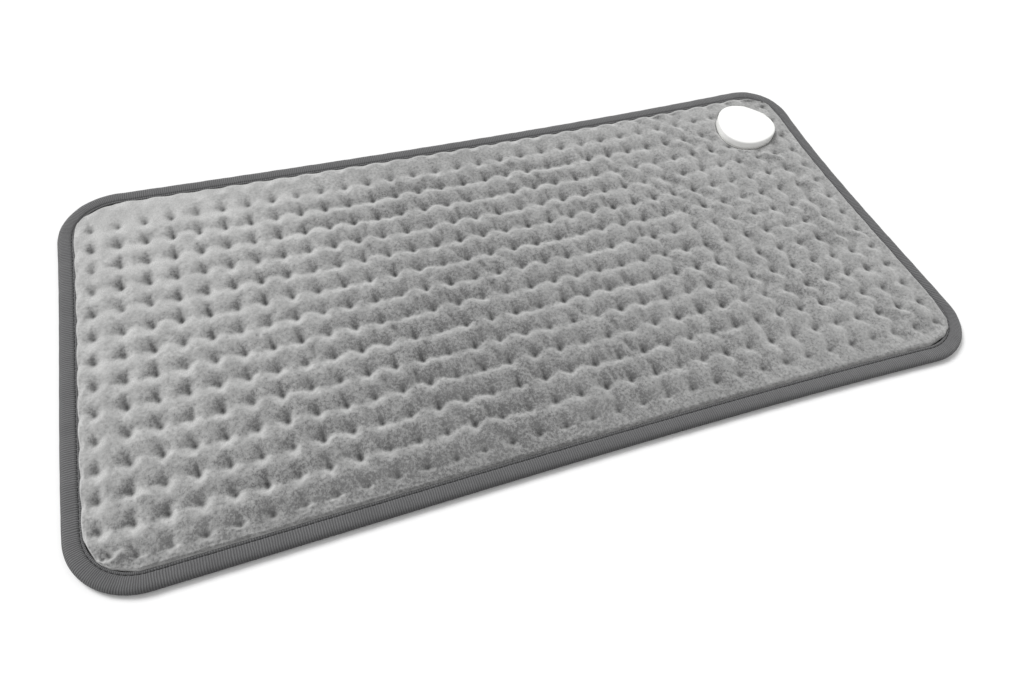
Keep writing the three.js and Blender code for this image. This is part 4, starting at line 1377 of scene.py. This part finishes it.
    def plain_height(self, spots: np.ndarray, flat: np.ndarray) -> np.ndarray:
        """Gives the face's height as the filling holds it: a flat puff in each cell between its tufts.

        Between neighbouring tufts the cloth sinks less, unevenly, mostly along the rows in the middle
        of the pad and mostly along the columns at its right-hand end. The outermost puffs are lower,
        and lowest on the near side and at the right-hand end.

        Args:
            spots: Column and row of each corner.
            flat: Its place in the plan, in millimetres.

        Returns:
            Heights in millimetres.
        """
        ends = np.array([self.plan.columns + 1, self.plan.rows + 1])
        between = np.sin(math.pi * spots) ** 2
        columns = self.column_lines.swayed(spots[:, 0], between[:, 1], flat, ends[0])
        rows = self.row_lines.swayed(spots[:, 1], between[:, 0], flat, ends[1])
        x, count = flat[:, 0], ends[0] + 2
        by_rows = self.row_lines.sunk(columns, rows, x, count, self.seed + 2)
        by_columns = self.column_lines.sunk(rows, columns, x, count, self.seed + 3)
        depth = 1 - (1 - by_rows) * (1 - by_columns)
        low = self.dip + (self.crown - self.dip) * self.low_share
        top = np.full(len(spots), self.crown)
        for from_rim, edge in ((spots.min(axis=1), self.edge_crown), ((ends - spots).min(axis=1), low)):
            top = edge + (top - edge) * ease(from_rim, *self.edge_within)
        return top - (top - self.dip) * depth

    def settled(self) -> tuple[np.ndarray, np.ndarray]:
        """Gives the face before its fine detail, from the cloth's run where the cover has one.

        The cloth has half the face's steps. Most of each height then follows the plain formula, and
        the rest is the cloth's own.

        Returns:
            Column and row of each corner, and its place in millimetres.
        """
        steps = self.cell_steps // 2 if self.settling else self.cell_steps
        bm = self.bare_grid(steps)
        spots = self.coordinates(bm)
        flat = self.on_plan(spots, self.plan.grid(self.rim_inset))
        rim, tufts, under = self.at_rim(spots), self.at_tuft(spots), self.under_pod(flat)
        height = self.plain_height(spots, flat)
        height[rim] = self.rim
        height[tufts] = self.dip
        if self.settling is None:
            bm.free()
            return spots, np.column_stack([flat, height])
        held = rim | tufts | under
        rng = np.random.default_rng(self.seed)
        height += np.where(held, 0, rng.normal(0, self.unevenness, len(height)))
        height[under] = self.pressed
        mesh = bpy.data.meshes.new("settling_cloth")
        bm.to_mesh(mesh)
        bm.free()
        places = np.column_stack([flat, height])
        places = self.settling.settle(mesh, places * METRES, held) / METRES
        bpy.data.meshes.remove(mesh)
        spots, places = self.refined(spots, places, steps)
        flat = places[:, :2]
        share = np.where(self.at_rim(spots) | self.under_pod(flat), 0, self.held_share)
        places[:, 2] += (self.plain_height(spots, flat) - places[:, 2]) * share
        return spots, places

    @staticmethod
    def refined(spots: np.ndarray, places: np.ndarray, steps: int) -> tuple[np.ndarray, np.ndarray]:
        """Halves the grid's steps with a smooth curve through its corners.

        Args:
            spots: Column and row of each corner.
            places: Its place in millimetres.
            steps: Steps that a cell of the quilting has.

        Returns:
            Columns and rows, and places, of the finer grid.
        """
        index = np.round(spots * steps).astype(int)
        net = np.zeros((index[:, 1].max() + 1, index[:, 0].max() + 1, 3))
        net[index[:, 1], index[:, 0]] = places
        for axis in (0, 1):
            net = np.moveaxis(net, axis, 0)
            padded = np.concatenate([2 * net[:1] - net[1:2], net, 2 * net[-1:] - net[-2:-1]])
            finer = np.zeros((net.shape[0] * 2 - 1, *net.shape[1:]))
            finer[::2] = net
            finer[1::2] = (9 * (padded[1:-2] + padded[2:-1]) - padded[:-3] - padded[3:]) / 16  # cubic
            net = np.moveaxis(finer, 0, axis)
        rows, columns = net.shape[:2]
        down, along = np.meshgrid(np.arange(rows), np.arange(columns), indexing="ij")
        fine = np.stack([along, down], axis=-1).reshape(-1, 2) / (steps * 2)
        return fine, net.reshape(-1, 3)

    def bare_grid(self, steps: int) -> bmesh.types.BMesh:
        """Makes the flat unit grid.

        Args:
            steps: How many steps each cell of the quilting has.

        Returns:
            The grid, from minus to plus one along both axes.
        """
        bm = bmesh.new()
        columns, rows = (self.plan.columns + 1) * steps, (self.plan.rows + 1) * steps
        bmesh.ops.create_grid(bm, x_segments=columns, y_segments=rows, size=1.0)
        return bm

    def detailed(self, spots: np.ndarray, places: np.ndarray) -> tuple[np.ndarray, np.ndarray]:
        """Adds the tufts' dips, the creases, the folds, the rolled edge and the controller's seat.

        Args:
            spots: Column and row of each corner.
            places: Its settled place in millimetres.

        Returns:
            The finished places, and each corner's painted shade, from zero to one, darkest in dips,
            valleys, streaks and wrinkles.
        """
        flat, up = places[:, :2], self.side.value
        ends = np.array([self.plan.columns, self.plan.rows])
        from_rim = np.minimum(spots, ends + 1 - spots).min(axis=1)
        inside, creased = ease(from_rim, *self.dips_within), ease(from_rim, *self.creases_within)
        nearest = np.clip(np.round(spots), 1, ends)
        from_tuft = flat - self.on_plan(nearest, self.plan.grid(self.rim_inset))
        lots = self.lots(nearest, 1)
        dipped, dip = self.dips.sunk(from_tuft, lots)
        streak = self.streaks.shares(from_tuft, lots) * creased
        cell = np.floor(spots + TINY)
        wrinkle = self.wrinkles.shares(spots - cell, flat[:, 0], self.lots(cell, 4)) * creased
        sunk = dipped * inside + self.streaks.depth * streak + self.wrinkles.depth * wrinkle
        height = places[:, 2] - up * (sunk - sum(fold.rise(flat) for fold in self.folds))
        # Painted shade, darkest at the tufts' dips and where the cloth sinks into valleys, streaks and
        # wrinkles
        deep_from, deep_to = (share * abs(self.crown - self.dip) for share in self.valley_shade_depths)
        valley = ease(up * (self.crown - places[:, 2]), deep_from, deep_to) * inside
        crease_shade = np.maximum(self.dip_shade * dip + self.valley_shade * valley - self.shade_offset, 0)
        crease_shade = np.clip(crease_shade + self.streak_shade * (streak + self.wrinkle_shade * wrinkle), 0, 1)
        if self.side is Side.UP:
            moved, height = self.shouldered(spots, flat, height)
            lowest = self.rim + (self.lowest - self.rim) * ease(from_rim, *self.lowest_within)
            spare = height - lowest
            height = lowest + (spare + np.hypot(spare, self.softness)) / 2
            return np.column_stack([moved, self.seated(flat, height)]), crease_shade
        return np.column_stack([flat, height]), crease_shade

    def seated(self, flat: np.ndarray, height: np.ndarray) -> np.ndarray:
        """Presses the face down under the controller, and keeps room for the plug before its nose.

        Args:
            flat: Places in the plan, in millimetres.
            height: Their heights in millimetres.

        Returns:
            The changed heights.
        """
        own = self.pod.own_places(self.plan, flat)
        height = self.pressed + (height - self.pressed) * ease(self.pod.outside(own), *self.seat_slope)
        room = ease(self.pod.outside_nose(own, self.pod.plug_room), *self.room_slope)
        least, rise = self.room_lift
        return np.where(room < 1, np.minimum(height, self.pressed + least + rise * room), height)

    def shouldered(
        self,
        spots: np.ndarray,
        flat: np.ndarray,
        height: np.ndarray,
    ) -> tuple[np.ndarray, np.ndarray]:
        """Rounds the outermost puffs over, so that those on the far and left sides hang on the tape.

        Args:
            spots: Column and row of each corner.
            flat: Its place in the plan, in millimetres.
            height: Its height in millimetres.

        Returns:
            The changed places and heights.
        """
        column, row = spots.T
        from_rims = (row, column, self.plan.rows + 1 - row, self.plan.columns + 1 - column)
        for shoulder, from_rim, along in zip(self.shoulders, from_rims, (column, row, column, row)):
            puff = self.valley_share + (1 - self.valley_share) * np.abs(np.sin(math.pi * along))
            stand = (self.edge_crown - self.rim) * (shoulder.flat_share + shoulder.puff_share * puff)
            share = np.clip(from_rim / self.shoulder_share, 0, 1)
            round_top = self.rim + stand * np.sqrt(np.maximum(share * (2 - share), 0))
            fade = (1 - ease(from_rim, *shoulder.fades)) * (from_rim < 1)
            height = height + (round_top - height) * fade
            bulge = np.sin(math.pi * np.clip(from_rim / self.bulge_share, 0, 1)) * (from_rim < 1)
            bulge = (shoulder.overhang * puff + shoulder.shift) * bulge
            flat = flat + np.array(shoulder.outwards) * bulge[:, None]
        return flat, height

    def build(self, wardrobe: Wardrobe) -> bpy.types.Object:
        """Makes the cover.

        Args:
            wardrobe: Where its finish comes from.

        Returns:
            The finished piece.
        """
        spots, places = self.settled()
        places, crease_shade = self.detailed(spots, places)
        bm = self.bare_grid(self.cell_steps)
        wanted = np.round(self.coordinates(bm) * self.cell_steps).astype(int)
        given = np.round(spots * self.cell_steps).astype(int)
        width = (self.plan.columns + 1) * self.cell_steps + 1
        lookup = np.zeros(width * ((self.plan.rows + 1) * self.cell_steps + 1), int)
        lookup[given[:, 1] * width + given[:, 0]] = np.arange(len(given))
        order = lookup[wanted[:, 1] * width + wanted[:, 0]]
        places, crease_shade = places[order], crease_shade[order]
        # Each corner carries its painted shade as an attribute that the plush colour reads
        layer = bm.verts.layers.float.new("crease_shade")
        for corner, place, depth in zip(bm.verts, places, crease_shade):
            corner.co = place * METRES
            corner[layer] = depth
        self.open_throat(bm)
        self.close_inside(bm)
        if self.side is Side.DOWN:
            bmesh.ops.reverse_faces(bm, faces=bm.faces)
        piece = wardrobe.new_piece(self.name, bm, self.finish)
        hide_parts(self.node)
        log.info("%s: %d faces", piece.name, len(piece.data.polygons))
        return piece

    def open_throat(self, bm: bmesh.types.BMesh) -> None:
        """Takes out the faces where the controller passes through the cover.

        Args:
            bm: The face in metres.
        """
        middles = np.array([face.calc_center_median()[:2] for face in bm.faces]) / METRES
        own = self.pod.own_places(self.plan, middles)
        inside = np.hypot(own[:, 0], own[:, 1]) < self.pod.throat + self.throat_gap
        faces = [face for face, gone in zip(bm.faces, inside) if gone]
        bmesh.ops.delete(bm, geom=faces, context="FACES")

    def close_inside(self, bm: bmesh.types.BMesh) -> None:
        """Closes the cover with its tucked rim and its flat inner face.

        Args:
            bm: The open face in metres.
        """
        rims = [edge for edge in bm.edges if edge.is_boundary]
        middle = np.array([np.mean([corner.co[:2] for corner in edge.verts], axis=0) for edge in rims])
        own = self.pod.own_places(self.plan, middle / METRES)
        by_throat = np.hypot(own[:, 0], own[:, 1]) < self.pod.radius
        outer = [edge for edge, near in zip(rims, by_throat) if not near]
        hole = [edge for edge, near in zip(rims, by_throat) if near]
        down = self.extruded(bm, outer, lambda place: Vector((place.x, place.y, self.tucked * METRES)))
        shrink_x = 1 - 2 * self.plan.end_gap / self.plan.length
        shrink_y = 1 - 2 * self.plan.side_gap / self.plan.width
        inner = self.extruded(
            bm,
            down,
            lambda place: Vector((place.x * shrink_x, place.y * shrink_y, self.inner * METRES)),
        )
        throat = self.extruded(bm, hole, lambda place: Vector((place.x, place.y, self.inner * METRES)))
        bmesh.ops.triangle_fill(bm, edges=inner + throat, use_beauty=True)
        bmesh.ops.recalc_face_normals(bm, faces=bm.faces)

    @staticmethod
    def extruded(
        bm: bmesh.types.BMesh,
        edges: list[bmesh.types.BMEdge],
        moved: Callable[[Vector], Vector],
    ) -> list[bmesh.types.BMEdge]:
        """Extrudes a loop of edges.

        Args:
            bm: The mesh that the edges belong to.
            edges: The loop.
            moved: Gives a new corner's place from its old one.

        Returns:
            The new loop's edges.
        """
        made = bmesh.ops.extrude_edge_only(bm, edges=edges)["geom"]
        for element in made:
            if isinstance(element, bmesh.types.BMVert):
                element.co = moved(element.co)
        return [element for element in made if isinstance(element, bmesh.types.BMEdge)]


@dataclass
class EdgeTape:
    """Folded binding tape with a rolled edge and the groove that its seam pulls into it."""

    plan: PadPlan
    step: float = 1.25
    thickness: float = 5.6
    wall: float = 0.7
    crown: float = 0.35
    lip: float = 1.7
    groove_width: float = 1.1
    groove_depth: float = 0.75
    nose_depth: float = 4.2
    nose_steps: int = 9
    ripple: float = 0.16
    ripple_length: float = 23.0
    ripple_shares: tuple[float, ...] = (1.0, 0.55, 0.3)
    stitch_length: float = 2.7
    stitch_pitch: float = 3.5
    stitch_thickness: float = 0.55
    stitch_rise_share: float = 0.35
    seed: int = 11

    def section(self) -> list[tuple[float, float]]:
        """Gives the tape's closed section.

        Returns:
            Insets and heights in millimetres, from its upper inner edge over the outer side and
            back along its inner wall.
        """
        top = self.thickness
        width = self.plan.tape_width
        groove = width - self.lip
        half = self.thickness / 2
        hollow = half - self.wall
        turns = [math.pi / 2 - step * math.pi / self.nose_steps for step in range(self.nose_steps + 1)]
        outer = [
            (
                self.nose_depth * (1 - math.cos(turn)),
                half + math.sin(turn) * (half + self.crown * max(math.sin(turn), 0)),
            )
            for turn in turns
        ]
        inner = [
            (
                self.wall + (self.nose_depth - self.wall) * (1 - math.cos(turn)),
                half + hollow * math.sin(turn),
            )
            for turn in reversed(turns)
        ]
        return [
            (width, top - self.wall * 0.5),
            (width - self.lip * 0.12, top - self.wall * 0.1),
            (width - self.lip * 0.4, top + self.crown * 0.35),
            (groove + self.groove_width * 0.45, top),
            (groove + self.groove_width * 0.15, top - self.groove_depth),
            (groove - self.groove_width * 0.15, top - self.groove_depth),
            (groove - self.groove_width * 0.5, top),
            (groove - self.groove_width * 1.3, top + self.crown * 0.8),
            *outer,
            (width * 0.7, 0.0),
            (width, 0.0),
            (width, self.wall),
            *inner,
            (width * 0.75, top - self.wall),
            (width, top - self.wall * 1.2),
        ]

    def line(self, inset: float) -> np.ndarray:
        """Gives the drawn-in line that runs round the pad at one inset.

        Args:
            inset: How far inside the pad's edge it runs, in millimetres.

        Returns:
            Its points, which are as many at every inset.
        """
        arc_x, arc_y = self.plan.arc_centre
        stretches = (self.plan.corner * math.pi / 2, arc_x * 2, arc_y * 2)
        counts = [round(stretch / self.step) for stretch in stretches]
        return self.plan.drawn_in(self.plan.outline(inset, *counts))

    @staticmethod
    def run(line: np.ndarray) -> np.ndarray:
        """Gives how far along a closed line each of its points lies, with the whole length last."""
        steps = np.hypot(*(np.roll(line, -1, axis=0) - line).T)
        return np.concatenate([[0], np.cumsum(steps)])

    def waviness(self, run: np.ndarray) -> np.ndarray:
        """Gives the small unevenness of the sewn tape along its length.

        Args:
            run: How far along the tape each place lies, with the whole length last.

        Returns:
            Values from minus to plus one.
        """
        rng = np.random.default_rng(self.seed)
        waves = np.zeros(len(run) - 1)
        for share in self.ripple_shares:
            count = round(run[-1] / (self.ripple_length * share))
            phase = rng.uniform(0, 2 * math.pi)
            waves += share * np.sin(2 * math.pi * count * run[:-1] / run[-1] + phase)
        return waves / sum(self.ripple_shares)

    def build(self, wardrobe: Wardrobe) -> None:
        """Makes the tape, one line of its section after another, and its stitches.

        Args:
            wardrobe: Where the finishes come from.
        """
        run = self.run(self.line(0))
        waves = self.waviness(run)
        bm = bmesh.new()
        station = bm.verts.layers.int.new("station")
        row = bm.verts.layers.int.new("row")
        corners = bmesh.ops.create_circle(bm, cap_ends=False, segments=len(waves), radius=1.0)["verts"]
        for number, corner in enumerate(corners):
            corner[station] = number
        first = loop = list(bm.edges)
        for number, (inset, height) in enumerate(self.section()):
            if number:
                made = bmesh.ops.extrude_edge_only(bm, edges=loop)["geom"]
                loop = [element for element in made if isinstance(element, bmesh.types.BMEdge)]
                corners = [element for element in made if isinstance(element, bmesh.types.BMVert)]
            line = self.line(inset)
            ripple = self.ripple if height > self.thickness / 2 else 0.0
            for corner in corners:
                x, y = line[corner[station]]
                corner.co = Vector((x, y, height + ripple * waves[corner[station]])) * METRES
                corner[row] = number
        bmesh.ops.bridge_loops(bm, edges=first + loop)
        bmesh.ops.recalc_face_normals(bm, faces=bm.faces)
        self.map_faces(bm, run)
        tape = wardrobe.new_piece("edge_tape", bm, Finishes.TAPE)
        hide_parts("binding_tape")
        log.info("%s: %d faces", tape.name, len(tape.data.polygons))
        self.build_stitches(wardrobe)

    @staticmethod
    def map_faces(bm: bmesh.types.BMesh, run: np.ndarray) -> None:
        """Gives the tape its map, in metres along it and a millimetre for each line of its section.

        Args:
            bm: The tape, whose corners know their station along it and their row in its section.
            run: How far along the tape each station lies, with the whole length last.
        """
        station = bm.verts.layers.int["station"]
        row = bm.verts.layers.int["row"]
        mapped = bm.loops.layers.uv.new("TapeMap")
        last = len(run) - 2
        for face in bm.faces:
            stations = [corner[station] for corner in face.verts]
            wraps = last in stations and 0 in stations
            for corner in face.loops:
                number = corner.vert[station]
                along = run[-1] if wraps and number == 0 else run[number]
                corner[mapped].uv = (along * METRES, corner.vert[row] * METRES)

    def build_stitches(self, wardrobe: Wardrobe) -> None:
        """Lays the seam's stitches in the groove, as short humps of thread.

        Args:
            wardrobe: Where their finish comes from.
        """
        line = self.line(self.plan.tape_width - self.lip)
        run = self.run(line)
        closed = np.concatenate([line, line[:1]])
        count = round(run[-1] / self.stitch_pitch)
        height = self.thickness - self.groove_depth + self.stitch_thickness * self.stitch_rise_share
        long, thick = self.stitch_length / 2, self.stitch_thickness / 2
        size = Matrix.Diagonal((long * METRES, thick * METRES, thick * METRES, 1.0))
        bm = bmesh.new()
        for middle in (np.arange(count) + 0.5) / count * run[-1]:
            start, end = [
                Vector((*(np.interp(along, run, closed[:, axis]) for axis in (0, 1)), height)) * METRES
                for along in (middle - long, middle + long)
            ]
            turn = Vector((1, 0, 0)).rotation_difference(end - start).to_matrix().to_4x4()
            matrix = Matrix.Translation((start + end) / 2) @ turn @ size
            bmesh.ops.create_uvsphere(bm, u_segments=6, v_segments=5, radius=1.0, matrix=matrix)
        bmesh.ops.recalc_face_normals(bm, faces=bm.faces)
        seam = wardrobe.new_piece("tape_stitching", bm, Finishes.SEAM)
        log.info("%s: %d stitches", seam.name, count)


@dataclass
class HeaterLayers:
    """The layers and wires inside the pad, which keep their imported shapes."""

    finishes: dict[str, Finishes] = field(
        default_factory=lambda: {
            "front_wadding": Finishes.WADDING,
            "back_wadding": Finishes.WADDING,
            "heater_sheet": Finishes.CARRIER,
            "heating_wire": Finishes.WIRE,
            "thermal_cutout_1": Finishes.STEEL,
            "thermal_cutout_2": Finishes.STEEL,
            "temperature_sensor": Finishes.BLACK,
            "lead_wire_live": Finishes.LIVE,
            "lead_wire_neutral": Finishes.NEUTRAL,
            "sensor_wire": Finishes.SENSOR,
        }
    )

    def dress(self, wardrobe: Wardrobe) -> None:
        """Puts each layer's finish on.

        Args:
            wardrobe: Where the finishes come from.
        """
        for node, finish in self.finishes.items():
            wardrobe.dress_node(node, finish)
            log.info("%s: %s", node, finish.value.name)


@dataclass
class Controller:
    """The press-cap controller: its shells, its board and what is on it."""

    finishes: dict[str, Finishes] = field(
        default_factory=lambda: {
            "circuit_board": Finishes.BOARD,
            "switch_body": Finishes.BLACK,
            "switch_plunger": Finishes.RED,
            "control_chip": Finishes.BLACK,
            "power_triac": Finishes.BLACK,
            "indicator_led": Finishes.LAMP,
            "socket_insert": Finishes.BLACK,
            **{f"contact_pin_{number}": Finishes.BRASS for number in (1, 2, 3)},
            **{f"clamp_screw_{number}": Finishes.STEEL for number in (1, 2, 3)},
        }
    )

    def dress(self, wardrobe: Wardrobe) -> None:
        """Smooths the three round shells and puts each other piece's finish on.

        Args:
            wardrobe: Where the finishes come from.
        """
        wardrobe.smooth_node("press_cap", Finishes.CAP, BUTTON_BODY)
        for node in ("controller_base", "clamp_plate"):
            wardrobe.smooth_node(node, Finishes.BASE, PAD_BODY)
        for node, finish in self.finishes.items():
            wardrobe.dress_node(node, finish)
            log.info("%s: %s", node, finish.value.name)


@dataclass
class Studio:
    """Pale floor, soft daylight and the camera."""

    camera_place: tuple[float, float, float] = (-152.86, -322.37, 418.90)
    camera_turn: tuple[float, float, float] = (35.597, -4.596, -19.312)
    lens: float = 27.016
    sensor: float = 36.0
    floor_half: float = 4000.0
    floor_drop: float = 0.05
    paper: str = "fefefe"
    paper_shade: str = "fbfbfb"
    paper_clouds: float = 900.0
    bounced: str = "b4b4b4"  # what the floor throws back at the pad
    sky: str = "ffffff"
    ambient: float = 0.6
    sun_from: tuple[float, float, float] = (-0.6, 0.85, 1.2)
    sun_strength: float = 2.1
    sun_spread: float = 28.0

    def build(self) -> None:
        """Makes the camera, the lights and the floor."""
        self.build_camera()
        self.build_light()
        self.build_floor()
        bpy.context.scene.view_settings.view_transform = "Standard"

    def build_camera(self) -> None:
        """Sets the camera where the photograph was taken from."""
        camera = bpy.data.cameras.new("photo_camera")
        camera.lens = self.lens
        camera.sensor_width = self.sensor
        holder = bpy.data.objects.new("photo_camera", camera)
        holder.location = Vector(self.camera_place) * METRES
        holder.rotation_euler = [math.radians(angle) for angle in self.camera_turn]
        bpy.context.scene.collection.objects.link(holder)
        bpy.context.scene.camera = holder

    @staticmethod
    def sees_background(tree: bpy.types.NodeTree) -> Socket:
        """Picks out the rays that show the background: straight, mirrored and through clear pieces.

        Args:
            tree: The material's or world's node tree.

        Returns:
            A socket that is one for those rays and zero for all others.
        """
        rays = add_node(tree, "LightPath").outputs
        seen = rays["Is Camera Ray"]
        for kind in ("Is Glossy Ray", "Is Transmission Ray"):
            seen = add_node(tree, "Math", {"operation": "MAXIMUM"}, {0: seen, 1: rays[kind]}).outputs[0]
        return seen

    def build_light(self) -> None:
        """Lights the pad with an even sky and one soft sun from behind on the left."""
        world = bpy.data.worlds.new("studio_sky")
        world.use_nodes = True
        tree = world.node_tree
        tree.nodes.clear()
        sky = add_node(tree, "Background", {"Strength": self.ambient})
        white = add_node(tree, "Background", {"Strength": 1.0})
        for background in (sky, white):
            background.inputs["Color"].default_value = linear(self.sky)
        links = {0: self.sees_background(tree), 1: sky.outputs[0], 2: white.outputs[0]}
        mix = add_node(tree, "MixShader", {}, links)
        add_node(tree, "OutputWorld", {}, {"Surface": mix.outputs[0]})
        bpy.context.scene.world = world
        sun = bpy.data.lights.new("soft_sun", "SUN")
        sun.energy = self.sun_strength
        sun.angle = math.radians(self.sun_spread)
        holder = bpy.data.objects.new("soft_sun", sun)
        holder.rotation_euler = Vector(self.sun_from).to_track_quat("Z", "Y").to_euler()
        bpy.context.scene.collection.objects.link(holder)

    def build_floor(self) -> None:
        """Lays the floor, which keeps the pad's shadow."""
        bm = bmesh.new()
        bmesh.ops.create_grid(bm, x_segments=1, y_segments=1, size=self.floor_half * METRES)
        bmesh.ops.translate(bm, verts=bm.verts, vec=(0, 0, -self.floor_drop * METRES))
        mesh = bpy.data.meshes.new("pale_floor")
        bm.to_mesh(mesh)
        bm.free()
        painting = Painting("pale_paper_floor")
        tone = painting.blend(painting.cloudy(self.paper_clouds, 2), self.paper, self.paper_shade)
        tone = painting.blend(self.sees_background(painting.tree), self.bounced, tone)
        painting.close({"Roughness": 1.0, "Specular IOR Level": 0.0}, tone)
        mesh.materials.append(painting.material)
        floor = bpy.data.objects.new("pale_floor", mesh)
        bpy.context.scene.collection.objects.link(floor)


def main() -> None:
    """Builds the scene, one sub-assembly after another."""
    logging.basicConfig(level=logging.INFO, format="%(name)s: %(message)s")
    wardrobe = Wardrobe()
    plan = PadPlan()
    pod = PodPlan()
    Studio().build()
    front = TuftedCover(
        plan=plan,
        pod=pod,
        name="quilted_front",
        node="front_cover",
        finish=Finishes.FRONT,
        side=Side.UP,
        cell_steps=14,
        dip=6.6,
        crown=9.2,
        edge_crown=8.2,
        rim=4.5,
        rim_inset=11.3,
        tucked=3.4,
        inner=5.9,
        pressed=6.3,
        fill=0.35,
        folds=(
            Fold(((243.5, 11.0), (249.5, -4.0), (252.5, -23.0), (255.5, -41.0)), 1.8, 5.0),
            Fold(((256.0, -48.0), (259.5, -57.0), (255.5, -65.0)), 1.6, 4.0),
            Fold(((257.5, -69.5), (258.5, -79.0), (253.5, -86.0)), 1.5, 4.0),
            Fold(((277.0, -101.0), (266.0, -110.0), (255.0, -125.0)), 1.1, 4.0),
            Fold(((-279.0, -133.0), (-269.0, -129.0), (-259.0, -134.0)), 1.2, 4.0),
            Fold(((-265.0, -99.0), (-260.0, -96.0), (-252.0, -101.0), (-249.0, -109.0)), 1.2, 4.0),
            Fold(((228.0, 67.0), (244.0, 66.0), (254.5, 59.0), (256.0, 50.0)), 1.6, 4.0),
            Fold(((180.0, 101.0), (187.0, 91.0), (188.0, 76.0), (185.0, 67.0)), 1.5, 4.5),
            Fold(((202.0, 10.0), (205.5, 0.0), (202.0, -10.0)), 1.2, 4.0),
        ),
        settling=ClothSettling(),
    )
    front.build(wardrobe)
    back = TuftedCover(
        plan=plan,
        pod=pod,
        name="quilted_back",
        node="back_cover",
        finish=Finishes.BACK,
        side=Side.DOWN,
        cell_steps=6,
        dip=1.1,
        crown=0.25,
        edge_crown=0.25,
        rim=0.8,
        rim_inset=10.0,
        tucked=2.2,
        inner=2.05,
        pressed=1.5,
        fill=0.15,
        dips=Dips(depth=0.25, pinch=0.03),
        streaks=Streaks(depth=0.05),
        wrinkles=Wrinkles(depth=0.05),
        streak_shade=0.1,
    )
    back.build(wardrobe)
    EdgeTape(plan).build(wardrobe)
    HeaterLayers().dress(wardrobe)
    Controller().dress(wardrobe)


if __name__ == "__main__":
    main()
